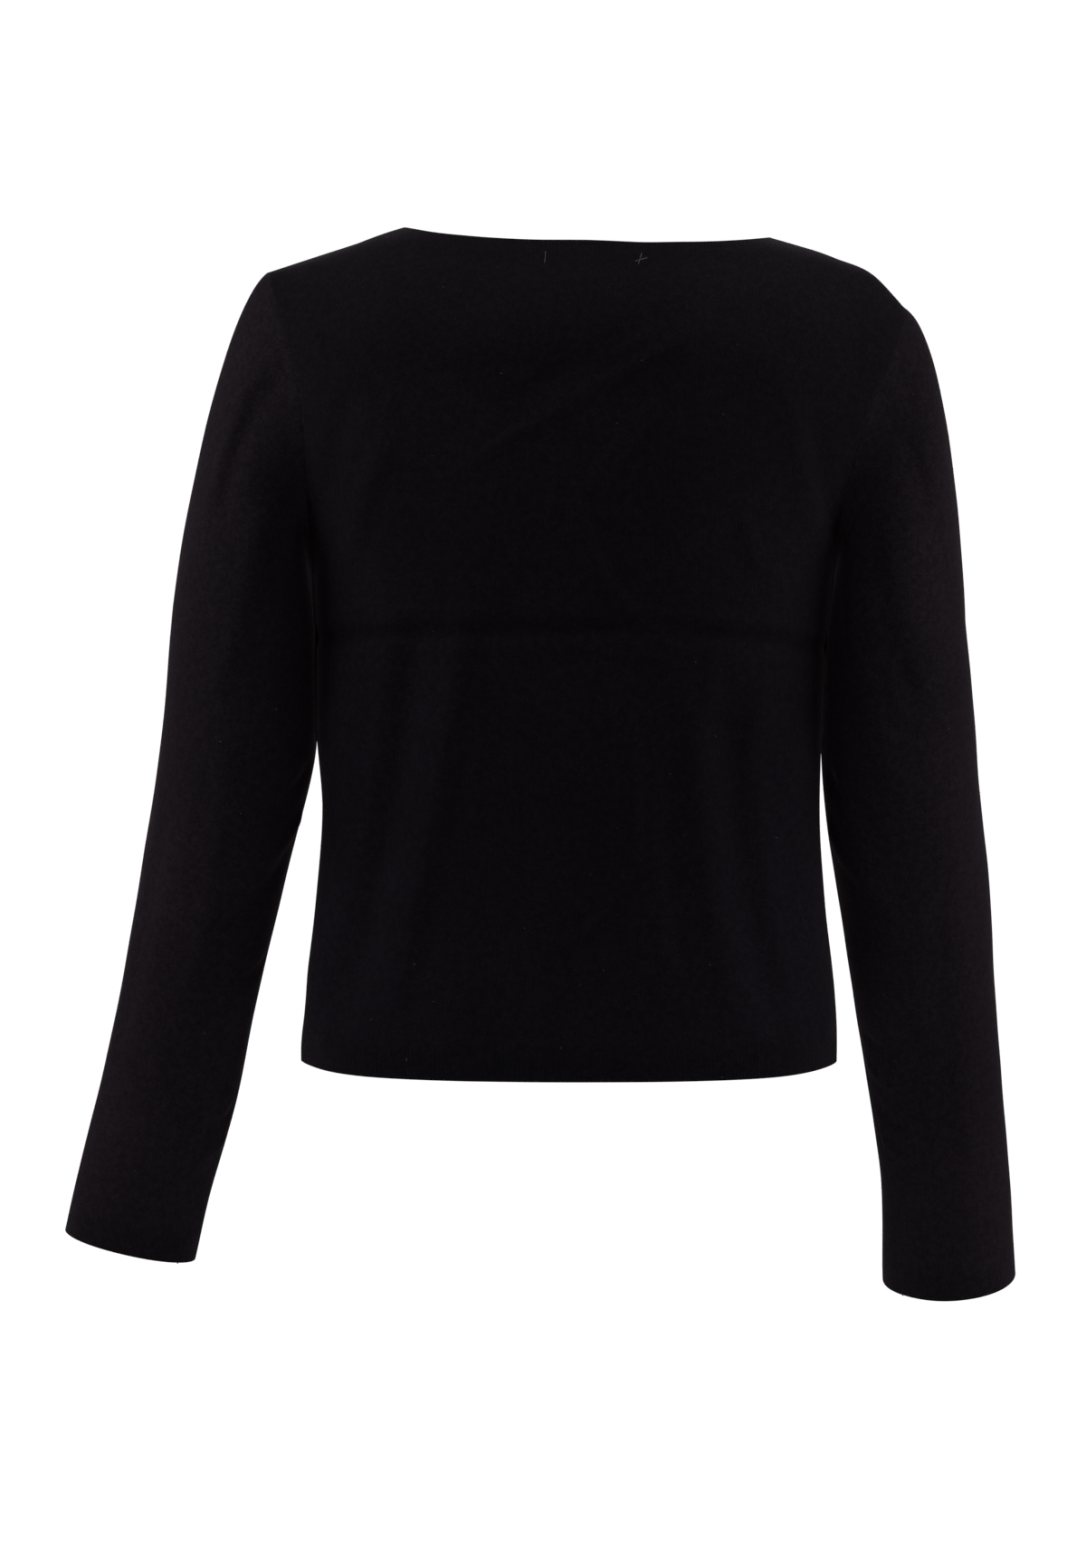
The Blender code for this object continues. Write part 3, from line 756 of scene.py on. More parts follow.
def blend_colours(factor, low, high):
    """Mix two colours, given as wires or as numbers, by a factor."""
    return factor.node("ShaderNodeMix", {"data_type": "RGBA"}, {0: factor, 6: low, 7: high}, output=2)


def speckle(start, scale, detail, roughness=0.5):
    """Noise on the piece's own coordinates, to the metre."""
    place = start.node("ShaderNodeTexCoord", output=3)
    sizes = {"Vector": place, "Scale": scale, "Detail": detail, "Roughness": roughness}
    return start.node("ShaderNodeTexNoise", {"noise_dimensions": "3D"}, sizes)


def opaque(colour):
    return (*colour, 1.0)


def material_of(name, make):
    """The named material, made by the given function when it is first asked for."""
    return bpy.data.materials.get(name) or make()


def new_material(name):
    """Make a material with an empty Principled shader, and give the shader and a first wire."""
    material = bpy.data.materials.new(name)
    material.use_nodes = True
    shader = material.node_tree.nodes["Principled BSDF"]
    return material, shader, Wire(material.node_tree, None)


# Noises on the cloth: scale to the metre, detail and roughness.
WALE_DRIFT = (26.0, 2.0, 0.5)
COURSE_DRIFT = (41.0, 1.0, 0.5)
HAIR = (900.0, 3.0, 0.65)
MELANGE = (260.0, 2.0, 0.60)
UNEVENNESS = (9.0, 3.0, 0.55)
# Where each goes from its dark to its light.
MELANGE_RANGE = (0.30, 0.72)
UNEVEN_RANGE = (0.30, 0.70)
HAIR_RANGE = (0.35, 0.70)
RIB_RANGE = (0.02, 0.28)    # in wales, from the groove to the top of a rib
DRIFT_SHARE = 0.5           # how far wales and courses wander, in their own widths
LEG_SLANT = 1.3             # slant of a stitch's legs, in courses to the wale
BAND_CORE = 0.45            # share of the edge band in which the stitches show in full
CROWN_SHARE = 0.62                 # share of the part's colour, with its painted light, that the brightest cloth takes
HAIR_RELIEF = 0.9           # height of the hair beside that of the stitches
# The least that each gives, and how much more it gives at its most.
LEG_HEIGHT = (0.55, 0.45)
STITCH_RELIEF = (0.16, 1.1)     # in the middle of a piece, and more along its free edges
# STITCH_SHADE darkens the grooves between stitches. This is painted shade, and it is stronger along free
# edges.
STITCH_SHADE = (0.13, 0.36)
MELANGE_SHADE = (0.70, 0.44)
UNEVEN_SHADE = (0.84, 0.30)
HAIR_SHADE = (0.62, 0.80)
KNIT_ROUGHNESS = (0.80, 0.18)
# Loose fibre and thread, and the floor's board.
FIBRE_SPOTS = (0.38, 0.66)
FIBRE_ROUGHNESS = (0.7, 0.2)
FIBRE_GLOSS = 0.15
FLOOR_MOTTLE = (14.0, 4.0)
FLOOR_DARKEST = 0.97
FLOOR_ROUGHNESS = (0.6, 0.1)


def knit_material(name, knit, painted_light_copy):
    """Near-black double knit: wales of small stitches, a soft nap and a faint unevenness.

    Its colour goes from the part's low near the free edge below to its high at the top. The sleeves take a
    lighter copy of it than the body: painted light.
    """
    material, shader, start = new_material(name)
    tree = material.node_tree
    cloth_map = start.node("ShaderNodeUVMap", {"uv_map": CLOTH_MAP})
    across = start.node("ShaderNodeSeparateXYZ", inputs={"Vector": cloth_map}, output=0)
    up = start.node("ShaderNodeSeparateXYZ", inputs={"Vector": cloth_map}, output=1)
    free_edge = start.node("ShaderNodeAttribute", {"attribute_name": FREE_EDGE}, output=2)
    pressed = start.node("ShaderNodeAttribute", {"attribute_name": PRESSED}, output=2)
    wale = across / knit.wale + speckle(start, *WALE_DRIFT) * DRIFT_SHARE
    course = up / knit.course + speckle(start, *COURSE_DRIFT) * DRIFT_SHARE
    half_wale = wale.fold_back(0.5)
    rib = half_wale.ease_between(*RIB_RANGE)
    leg = 0.5 + 0.5 * ((course + half_wale * LEG_SLANT) * (2 * math.pi)).cosine()
    stitch = rib * leg.spread(*LEG_HEIGHT)
    by_edge = 1 - free_edge.ease_between(knit.edge_band * BAND_CORE, knit.edge_band)
    hair = speckle(start, *HAIR)
    melange = speckle(start, *MELANGE).ease_between(*MELANGE_RANGE)
    uneven_dye = speckle(start, *UNEVENNESS).ease_between(*UNEVEN_RANGE)
    height = stitch * by_edge.spread(*STITCH_RELIEF) + hair * HAIR_RELIEF
    bump = start.node("ShaderNodeBump", inputs={
        "Strength": knit.relief_strength, "Distance": knit.relief, "Height": height})
    # Painted shade: the colour is darkened in the grooves between stitches, more along free edges.
    groove_shaded = 1 - (1 - stitch) * by_edge.spread(*STITCH_SHADE)
    shade = groove_shaded * melange.spread(*MELANGE_SHADE) * uneven_dye.spread(*UNEVEN_SHADE)
    # Painted shade: the cloth's colour is darkened along the pressed lines by a set share.
    shade = shade * hair.ease_between(*HAIR_RANGE).spread(*HAIR_SHADE) * (1 - knit.crease_shade * pressed)
    # Painted light: the sleeves' colours are lighter than the body's, standing in for the light that falls
    # more on them. Each goes from low near the hem or cuff to high at the top.
    low = opaque(getattr(knit, painted_light_copy + "_low"))
    high = opaque(getattr(knit, painted_light_copy + "_high"))
    crown = blend_colours(up.ease_between(knit.fade_from, knit.fade_to), low, high)
    taken = knit.valley + (1 - knit.valley) * (shade * CROWN_SHARE)
    base = blend_colours(taken, opaque((0.0, 0.0, 0.0)), crown)
    tree.links.new(base.socket, shader.inputs["Base Color"])
    tree.links.new(hair.spread(*KNIT_ROUGHNESS).socket, shader.inputs["Roughness"])
    tree.links.new(bump.socket, shader.inputs["Normal"])
    shader.inputs["Specular IOR Level"].default_value = knit.gloss
    shader.inputs["Sheen Weight"].default_value = getattr(knit, painted_light_copy + "_sheen")
    shader.inputs["Sheen Roughness"].default_value = knit.sheen_roughness
    shader.inputs["Sheen Tint"].default_value = opaque(knit.sheen_tint)
    return material


def fibre_material(name, dark, light, scale, sheen):
    """Loose fibre or thread, dark with light spots."""
    material, shader, start = new_material(name)
    spots = speckle(start, scale, 2.0).ease_between(*FIBRE_SPOTS)
    base = blend_colours(spots, opaque(dark), opaque(light))
    material.node_tree.links.new(base.socket, shader.inputs["Base Color"])
    material.node_tree.links.new(spots.spread(*FIBRE_ROUGHNESS).socket, shader.inputs["Roughness"])
    shader.inputs["Specular IOR Level"].default_value = FIBRE_GLOSS
    shader.inputs["Sheen Weight"].default_value = sheen
    return material


def floor_material(stage):
    """Plain pale studio floor with the faint mottle of painted board."""
    material, shader, start = new_material("studio_floor")
    mottle = speckle(start, *FLOOR_MOTTLE)
    low = tuple(channel * FLOOR_DARKEST for channel in stage.floor_colour)
    base = blend_colours(mottle, opaque(low), opaque(stage.floor_colour))
    material.node_tree.links.new(base.socket, shader.inputs["Base Color"])
    material.node_tree.links.new(mottle.spread(*FLOOR_ROUGHNESS).socket, shader.inputs["Roughness"])
    return material


class Bench:
    """A Geometry Nodes tree while it is built, with named inputs for its sizes."""

    def __init__(self, name, sizes):
        self.tree = bpy.data.node_groups.new(name, "GeometryNodeTree")
        self.tree.is_modifier = True
        face = self.tree.interface
        face.new_socket("Geometry", in_out="INPUT", socket_type="NodeSocketGeometry")
        face.new_socket("Geometry", in_out="OUTPUT", socket_type="NodeSocketGeometry")
        self.sizes = dict(sizes)
        for size, value in sizes.items():
            kind = "NodeSocketInt" if isinstance(value, int) else "NodeSocketFloat"
            face.new_socket(size, in_out="INPUT", socket_type=kind)
        face.new_socket("Material", in_out="INPUT", socket_type="NodeSocketMaterial")
        self.inputs = self.tree.nodes.new("NodeGroupInput").outputs
        self.outputs = self.tree.nodes.new("NodeGroupOutput").inputs

    def add(self, kind, settings=None, inputs=None):
        """Add a node: its settings first, then its sockets' values or links. Gives its outputs."""
        made = self.tree.nodes.new(kind)
        for name, value in (settings or {}).items():
            setattr(made, name, value)
        for name, value in (inputs or {}).items():
            for part in value if isinstance(value, list) else [value]:
                if isinstance(part, bpy.types.NodeSocket):
                    self.tree.links.new(part, made.inputs[name])
                else:
                    made.inputs[name].default_value = part
        return made.outputs

    def reckon(self, operation, *values):
        return self.add("ShaderNodeMath", {"operation": operation}, dict(enumerate(values)))[0]

    def close(self, instances):
        """End the tree: real geometry, smooth faces and the piece's material."""
        real = self.add("GeometryNodeRealizeInstances", inputs={"Geometry": instances})["Geometry"]
        shaded = self.add("GeometryNodeSetShadeSmooth", inputs={"Geometry": real, "Shade Smooth": True})
        painted = self.add("GeometryNodeSetMaterial", inputs={
            "Geometry": shaded["Geometry"], "Material": self.inputs["Material"]})
        self.tree.links.new(painted["Geometry"], self.outputs["Geometry"])

    def run_on(self, source, name, material):
        """Run the tree on a mesh and give the result as a plain object."""
        carrier = bpy.data.objects.new(name + "_source", source)
        bpy.context.scene.collection.objects.link(carrier)
        modifier = carrier.modifiers.new("nodes", "NODES")
        modifier.node_group = self.tree
        values = {**self.sizes, "Material": material}
        for item in self.tree.interface.items_tree:
            if item.in_out == "INPUT" and item.name in values:
                modifier[item.identifier] = values[item.name]
        carrier.update_tag()
        depsgraph = bpy.context.evaluated_depsgraph_get()
        mesh = bpy.data.meshes.new_from_object(carrier.evaluated_get(depsgraph), depsgraph=depsgraph)
        bpy.data.objects.remove(carrier)
        if not mesh.polygons:
            raise RuntimeError(f"{name}: the node tree made no faces")
        mesh.name = name
        piece = bpy.data.objects.new(name, mesh)
        bpy.context.scene.collection.objects.link(piece)
        return piece


# ---------------------------------------------------------------- cloth
CLOTH_MAP = "cloth"
FREE_EDGE = "free_edge"
# Mask of the pressed lines, which carries the painted shade along them.
PRESSED = "pressed"
ROOT = "root"

RIM_ANGLE = 45              # degrees between two faces above which their edge is rounded
RIM_SEGMENTS = 2


def wall_mesh(name, skin, knit):
    """Close a skin into a wall of cloth with rounded edges, and map the knit on to it."""
    outer = skin.points
    inner = outer - skin.outward * knit.thickness
    if not name.startswith("sleeve"):
        face = 1 if name == "back" else -1
        for layer in (outer, inner):
            layer[..., 1] = face * np.maximum(face * layer[..., 1], SEAM_GAP / 2)
    rows, columns = outer.shape[:2]
    count = rows * columns
    index = np.arange(count).reshape(rows, columns)
    corners = (index[:-1, :-1], index[1:, :-1], index[1:, 1:], index[:-1, 1:])
    quads = np.stack([corner.ravel() for corner in corners], axis=-1)
    rims = []
    for line in (index[0], index[:, -1], index[-1, ::-1], index[::-1, 0]):
        rims.append(np.stack((line[:-1], line[1:], line[1:] + count, line[:-1] + count), axis=-1))
    faces = np.concatenate((quads, quads[:, ::-1] + count, *rims))
    points = np.concatenate((outer.reshape(-1, 3), inner.reshape(-1, 3)))
    mesh = bpy.data.meshes.new(name)
    mesh.from_pydata(points.tolist(), [], faces.tolist())
    corner_verts = np.empty(len(mesh.loops), dtype=np.int32)
    mesh.loops.foreach_get("vertex_index", corner_verts)
    places = np.stack((np.tile(skin.across.ravel(), 2), np.tile(skin.up.ravel(), 2)), axis=-1)
    layer = mesh.uv_layers.new(name=CLOTH_MAP)
    layer.data.foreach_set("uv", places[corner_verts].astype(np.float32).ravel())
    for measure, values in ((FREE_EDGE, skin.free_distance), (PRESSED, skin.pressed)):
        kept = mesh.attributes.new(measure, "FLOAT", "POINT")
        kept.data.foreach_set("value", np.tile(values.ravel(), 2).astype(np.float32))
    wall = bmesh.new()
    wall.from_mesh(mesh)
    bmesh.ops.recalc_face_normals(wall, faces=wall.faces)
    sharp = [edge for edge in wall.edges if edge.calc_face_angle(0.0) > math.radians(RIM_ANGLE)]
    bmesh.ops.bevel(wall, geom=sharp, offset=knit.edge_round, segments=RIM_SEGMENTS, profile=0.5,
                    affect="EDGES", clamp_overlap=True)
    wall.to_mesh(mesh)
    wall.free()
    mesh.shade_smooth()
    return mesh


def add_cloth(context, name):
    """Make one piece of cloth on its solid's form, in place of its node."""
    knit = context.scene.cardigan_knit
    skin = skin_of(name)
    piece = bpy.data.objects.new(name + "_cloth", wall_mesh(name, skin, knit))
    context.scene.collection.objects.link(piece)
    # The sleeves and the body take different copies of the knit. The sleeves' copy is lighter, as painted
    # light.
    painted_light_copy = "sleeve" if name.startswith("sleeve") else "body"
    look = painted_light_copy + "_black_knit"
    piece.data.materials.append(material_of(look, lambda: knit_material(look, knit, painted_light_copy)))
    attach(piece, ROOT)
    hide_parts(name)


# ---------------------------------------------------------------- seams, nap and loose ends
OUTWARD = "outward"
ALONG = "along"
DENSITY = "density_share"
PIECES = ("back", "front_left", "front_right", "sleeve_left", "sleeve_right")

EDGE_NAP = 5.0              # how much thicker the nap is along free edges
STITCH_OVERLAP = 1.15       # length of a stitch's leg, in stitches
LEG_SPREAD = 0.45           # distance of each leg from the seam's line, in thread widths
# A loose fibre's form, in shares of its length or of its height.
FIBRE_BEND = 0.25
FIBRE_SWEEP = 0.3
FIBRE_TIP = 0.75
# How far a fibre of each kind leans, in radians, and the least of their sizes as a share.
NAP_LEAN = 0.35
NAP_LEAST = 0.35
LINT_LEAN = 0.5
LINT_LEAST = 0.5
THREAD_LEAST = 0.8


def seam_lines(name):
    """The seams that a piece carries: each a line of points and the outward directions there."""
    skin = skin_of(name)
    if name.startswith("sleeve"):
        return [(skin.points[0], skin.outward[0]), (skin.points[:, -1], skin.outward[:, -1])]
    # The back's seams lie midway between it and the fronts.
    flat = np.array((1.0, 0.0, 1.0))
    places = (
        (0, slice(0, SHOULDER_COLUMNS + 1)),
        (0, slice(-SHOULDER_COLUMNS - 1, None)),
        (slice(ARMHOLE_ROWS, None), 0),
        (slice(ARMHOLE_ROWS, None), -1),
    )
    return [(skin.points[place] * flat, unit(skin.outward[place] * flat)) for place in places]


def line_mesh(name, lines):
    """A mesh of open lines that remember which way is out of the cloth."""
    points = np.concatenate([line for line, _ in lines])
    outward = np.concatenate([directions for _, directions in lines])
    edges = []
    first = 0
    for line, _ in lines:
        edges += [(first + step, first + step + 1) for step in range(len(line) - 1)]
        first += len(line)
    return outward_mesh(name, points, outward, edges)


def outward_mesh(name, points, outward, edges=(), along=None):
    """A mesh of points that remember which way is out of the cloth, and which way a thread runs."""
    mesh = bpy.data.meshes.new(name)
    mesh.from_pydata(points.tolist(), list(edges), [])
    for way, directions in ((OUTWARD, outward), (ALONG, along)):
        if directions is not None:
            layer = mesh.attributes.new(way, "FLOAT_VECTOR", "POINT")
            layer.data.foreach_set("vector", directions.astype(np.float32).ravel())
    return mesh


def nap_mesh(name, skin, free_reach):
    """A coarse copy of a skin, on which the loose fibres grow thickest along the free edges."""
    counts = skin.points.shape[:2]
    lines = [np.unique(np.append(np.arange(0, count, SOURCE_STEP), count - 1)) for count in counts]
    pick = np.ix_(*lines)
    points = skin.points[pick]
    index = np.arange(points.shape[0] * points.shape[1]).reshape(points.shape[:2])
    corners = (index[:-1, :-1], index[1:, :-1], index[1:, 1:], index[:-1, 1:])
    faces = np.stack([corner.ravel() for corner in corners], axis=-1)
    first = points.reshape(-1, 3)[faces[0]]
    facing = np.cross(first[1] - first[0], first[2] - first[0])
    if facing @ skin.outward[pick][0, 0] < 0:
        faces = faces[:, ::-1]
    mesh = bpy.data.meshes.new(name)
    mesh.from_pydata(points.reshape(-1, 3).tolist(), [], faces.tolist())
    share = 1.0 + EDGE_NAP * (1 - ease(skin.free_distance[pick] / free_reach))
    layer = mesh.attributes.new(DENSITY, "FLOAT", "POINT")
    layer.data.foreach_set("value", share.astype(np.float32).ravel())
    return mesh


def named(bench, name, kind):
    return bench.add("GeometryNodeInputNamedAttribute", {"data_type": kind}, {"Name": name})["Attribute"]


def turned_out(bench, outward, along):
    """Rotation with X along a line and Z out of the cloth."""
    first = bench.add("FunctionNodeAlignRotationToVector", {"axis": "X"}, {"Vector": along})
    return bench.add("FunctionNodeAlignRotationToVector", {"axis": "Z", "pivot_axis": "X"}, {
        "Rotation": first["Rotation"], "Vector": outward})["Rotation"]


def seam_bench(seam):
    """Links of sewing thread, two slanted legs to a stitch, all along a seam."""
    bench = Bench("linked_seam", {
        "Stitch Length": seam.stitch, "Thread Width": seam.thread, "Sunk": seam.sunk, "Slant": seam.slant})
    size = bench.inputs
    curve = bench.add("GeometryNodeMeshToCurve", inputs={"Mesh": size["Geometry"]})["Curve"]
    spots = bench.add("GeometryNodeCurveToPoints", {"mode": "LENGTH"}, {
        "Curve": curve, "Length": size["Stitch Length"]})
    outward = named(bench, OUTWARD, "FLOAT_VECTOR")
    down = bench.reckon("MULTIPLY", size["Sunk"], -1.0)
    offset = bench.add("ShaderNodeVectorMath", {"operation": "SCALE"}, {0: outward, "Scale": down})["Vector"]
    turn = turned_out(bench, outward, spots["Tangent"])
    sunk = bench.add("GeometryNodeSetPosition", inputs={"Geometry": spots["Points"], "Offset": offset})
    legs = []
    for way in (1.0, -1.0):
        ball = bench.add("GeometryNodeMeshUVSphere", inputs={
            "Segments": 6, "Rings": 4, "Radius": 0.5})["Mesh"]
        long = bench.reckon("MULTIPLY", size["Stitch Length"], STITCH_OVERLAP)
        scale = bench.add("ShaderNodeCombineXYZ", inputs={
            "X": long, "Y": size["Thread Width"], "Z": size["Thread Width"]})["Vector"]
        angle = bench.reckon("MULTIPLY", size["Slant"], way)
        turned = bench.add("ShaderNodeCombineXYZ", inputs={"Z": angle})["Vector"]
        aside = bench.add("ShaderNodeCombineXYZ", inputs={
            "Y": bench.reckon("MULTIPLY", size["Thread Width"], LEG_SPREAD * way)})["Vector"]
        legs.append(bench.add("GeometryNodeTransform", inputs={
            "Geometry": ball, "Translation": aside, "Rotation": turned, "Scale": scale})["Geometry"])
    link = bench.add("GeometryNodeJoinGeometry", inputs={"Geometry": legs})["Geometry"]
    bench.close(bench.add("GeometryNodeInstanceOnPoints", inputs={
        "Points": sunk["Geometry"], "Instance": link, "Rotation": turn})["Instances"])
    return bench


def bent_hair(bench):
    """One loose fibre: a thin tube on a bent line that starts in the cloth and leans over."""
    size = bench.inputs
    reach = size["Length"]
    height = bench.reckon("MULTIPLY", reach, size["Stand"])
    bend = bench.add("ShaderNodeCombineXYZ", inputs={
        "X": bench.reckon("MULTIPLY", reach, FIBRE_BEND), "Z": height})
    end = bench.add("ShaderNodeCombineXYZ", inputs={
        "X": reach, "Y": bench.reckon("MULTIPLY", reach, FIBRE_SWEEP),
        "Z": bench.reckon("MULTIPLY", height, FIBRE_TIP)})
    line = bench.add("GeometryNodeCurveQuadraticBezier", inputs={
        "Resolution": size["Bends"], "Start": (0.0, 0.0, 0.0),
        "Middle": bend["Vector"], "End": end["Vector"]})
    ring = bench.add("GeometryNodeCurvePrimitiveCircle", inputs={"Resolution": 3, "Radius": size["Radius"]})
    return bench.add("GeometryNodeCurveToMesh", inputs={
        "Curve": line["Curve"], "Profile Curve": ring["Curve"], "Fill Caps": True})["Mesh"]


def spun(bench, rotation, lean):
    """Turn each fibre by a different angle about the way out, and lean it."""
    lowest = (-lean, -lean, 0.0)
    highest = (lean, lean, 2 * math.pi)
    euler = bench.add("FunctionNodeRandomValue", {"data_type": "FLOAT_VECTOR"}, {
        0: lowest, 1: highest, 8: bench.inputs["Seed"]})[0]
    by = bench.add("FunctionNodeEulerToRotation", inputs={"Euler": euler})["Rotation"]
    return bench.add("FunctionNodeRotateRotation", {"rotation_space": "LOCAL"}, {
        "Rotation": rotation, "Rotate By": by})["Rotation"]


def uneven(bench, least):
    """A size for each fibre, from the least share to 1."""
    seed = bench.reckon("ADD", bench.inputs["Seed"], 1.0)
    return bench.add("FunctionNodeRandomValue", {"data_type": "FLOAT"}, {2: least, 3: 1.0, 8: seed})[1]


def nap_bench(nap):
    """Loose fibres spread over a skin, thickest along its free edges."""
    bench = Bench("cloth_nap", {
        "Density": nap.density, "Length": nap.length, "Radius": nap.radius, "Stand": nap.stand,
        "Bends": 3, "Seed": nap.seed})
    density = bench.reckon("MULTIPLY", named(bench, DENSITY, "FLOAT"), bench.inputs["Density"])
    spots = bench.add("GeometryNodeDistributePointsOnFaces", {"distribute_method": "RANDOM"}, {
        "Mesh": bench.inputs["Geometry"], "Density": density, "Seed": bench.inputs["Seed"]})
    bench.close(bench.add("GeometryNodeInstanceOnPoints", inputs={
        "Points": spots["Points"], "Instance": bent_hair(bench), "Scale": uneven(bench, NAP_LEAST),
        "Rotation": spun(bench, spots["Rotation"], NAP_LEAN)})["Instances"])
    return bench


def lint_bench(sizes):
    """Specks of lint on given places, each turned its own way."""
    bench = Bench("lint_specks", sizes)
    turn = bench.add("FunctionNodeAlignRotationToVector", {"axis": "Z"}, {
        "Vector": named(bench, OUTWARD, "FLOAT_VECTOR")})["Rotation"]
    bench.close(bench.add("GeometryNodeInstanceOnPoints", inputs={
        "Points": bench.inputs["Geometry"], "Instance": bent_hair(bench),
        "Rotation": spun(bench, turn, LINT_LEAN), "Scale": uneven(bench, LINT_LEAST)})["Instances"])
    return bench


def thread_bench(sizes):
    """Thread ends on given places, each along its own given way."""
    bench = Bench("thread_ends", sizes)
    outward = named(bench, OUTWARD, "FLOAT_VECTOR")
    turn = turned_out(bench, outward, named(bench, ALONG, "FLOAT_VECTOR"))
    bench.close(bench.add("GeometryNodeInstanceOnPoints", inputs={
        "Points": bench.inputs["Geometry"], "Instance": bent_hair(bench), "Rotation": turn,
        "Scale": uneven(bench, THREAD_LEAST)})["Instances"])
    return bench


def places_on(skin, wanted):
    """The points of a skin nearest to places seen square on, and the outward directions there."""
    seen = skin.points[..., (0, 2)].reshape(-1, 2)
    nearest = [int(np.argmin(np.sum((seen - place) ** 2, axis=1))) for place in wanted]
    return skin.points.reshape(-1, 3)[nearest], skin.outward.reshape(-1, 3)[nearest]


def strewn(skin, count, seed):
    """Random points of a skin and the outward directions there."""
    draw = np.random.RandomState(seed)
    picks = draw.randint(0, skin.points.shape[0] * skin.points.shape[1], count)
    return skin.points.reshape(-1, 3)[picks], skin.outward.reshape(-1, 3)[picks]


def finish_small(piece):
    """A small piece goes with the cloth that it is on."""
    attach(piece, ROOT)


# ---------------------------------------------------------------- settings
def power_property(name, description, default):
    return FloatProperty(name=name, description=description, default=default, min=0.0, max=2000.0,
                         unit="POWER")


def length_property(name, description, default, low, high):
    return FloatProperty(name=name, description=description, default=default, min=low, max=high,
                         unit="LENGTH", subtype="DISTANCE", precision=5)


def share_property(name, description, default, high=1.0):
    return FloatProperty(name=name, description=description, default=default, min=0.0, max=high)


def colour_property(name, description, default):
    return FloatVectorProperty(name=name, description=description, default=default, size=3, min=0.0, max=1.0,
                               subtype="COLOR")


class KnitSettings(bpy.types.PropertyGroup):
    """Sizes and finish of the knitted cloth."""

    thickness: length_property("Thickness", "Thickness of the double knit", 1.8 * MM, 1.0 * MM, 3.0 * MM)
    edge_round: length_property("Edge round", "Rounding of every edge", 0.55 * MM, 0.1 * MM, 0.8 * MM)
    wale: length_property("Wale", "Width of one column of stitches", 1.6 * MM, 0.5 * MM, 8.0 * MM)
    course: length_property("Course", "Height of one row of stitches", 1.25 * MM, 0.5 * MM, 8.0 * MM)
    relief: length_property("Relief", "Depth of the stitches", 0.35 * MM, 0.0, 2.0 * MM)
    relief_strength: share_property("Relief strength", "How strongly the stitches shade", 0.60)
    edge_band: length_property("Edge band", "Width along free edges where stitches show", 26.0 * MM, 0.0, 0.1)
    gloss: share_property("Gloss", "Specular level", 0.02)
    body_sheen: share_property("Body sheen", "Weight of the sheen on the body", 0.030)
    sleeve_sheen: share_property("Sleeve sheen", "Weight of the sheen on the sleeves", 0.048)
    sheen_roughness: share_property("Sheen roughness", "Spread of the sheen", 0.28)
    sheen_tint: colour_property("Sheen tint", "Colour of the sheen", (1.0, 0.72, 0.90))
    # This sets the painted shade along the pressed lines: how much darker their colour is.
    crease_shade: share_property("Press", "How much darker a pressed line is, its fibres lying flat", 0.22)
    # Valley is the darkest share of the colour. The painted shade in the grooves between stitches falls
    # towards it.
    valley: share_property("Valley", "Brightness between the stitches, as a share of that on top", 0.17)
    fade_from: length_property("Fade from", "Where the low colours end, above the hem", 0.14, 0.0, 1.0)
    fade_to: length_property("Fade to", "Where the high colours begin, above it", 0.46, 0.0, 1.0)
    # The sleeves' colours are set lighter than the body's, as painted light. Each goes from low near the hem
    # or cuff to high at the top.
    body_low: colour_property("Body, low", "Colour of the body near the hem", (0.0070, 0.0058, 0.0084))
    body_high: colour_property("Body, high", "Colour of the body near the neck", (0.0074, 0.0058, 0.0078))
    sleeve_low: colour_property("Sleeve, low", "Colour of the sleeves at the cuff", (0.0146, 0.0108, 0.0144))
    sleeve_high: colour_property("Sleeve, high", "Colour of the sleeves at the top", (0.0130, 0.0097, 0.0129))


class SeamSettings(bpy.types.PropertyGroup):
    """Sizes of the linked seams."""

    stitch: length_property("Stitch", "Length of one stitch", 2.1 * MM, 1.0 * MM, 10.0 * MM)
    thread: length_property("Thread", "Width of the sewing thread", 0.42 * MM, 0.1 * MM, 2.0 * MM)
    sunk: length_property("Sunk", "Depth of the thread's middle in the cloth", 0.42 * MM, 0.0, 2.0 * MM)
    slant: FloatProperty(name="Slant", description="Turn of each leg of a stitch", default=math.radians(16),
                         min=0.0, max=math.radians(60), subtype="ANGLE")


class NapSettings(bpy.types.PropertyGroup):
    """Loose fibres, lint and thread ends."""

    density: FloatProperty(name="Density", description="Fibres to the square metre", default=9000.0, min=0.0,
                           max=60000.0)
    length: length_property("Length", "Longest loose fibre", 2.4 * MM, 0.2 * MM, 10.0 * MM)
    radius: length_property("Radius", "Half the thickness of a fibre", 0.035 * MM, 0.005 * MM, 0.5 * MM)
    stand: share_property("Stand", "How far a fibre stands up, as a share of its length", 0.45)
    free_reach: length_property("Free reach", "Width of thicker nap along free edges", 6.0 * MM, 0.0, 0.05)
    lint: IntProperty(name="Lint", description="Specks of lint on a piece", default=26, min=0, max=500)
    seed: IntProperty(name="Seed", description="Seed of the random places", default=11, min=0, max=9999)


class StudioSettings(bpy.types.PropertyGroup):
    """Light, floor and camera."""

    sky: share_property("Surroundings", "Light from the white surroundings", 0.10, 5.0)
    side_power: power_property("Side lights", "Power of each side light", 58.0)
    top_power: power_property("Top light", "Power of the light overhead", 16.0)
    face_power: power_property("Face lights", "Power of the light by the camera and of its opposite", 20.0)
    floor_colour: colour_property("Floor colour", "Colour of the floor", (0.86, 0.86, 0.86))


SETTINGS = (
    ("cardigan_knit", KnitSettings),
    ("cardigan_seams", SeamSettings),
    ("cardigan_nap", NapSettings),
    ("cardigan_studio", StudioSettings),
)

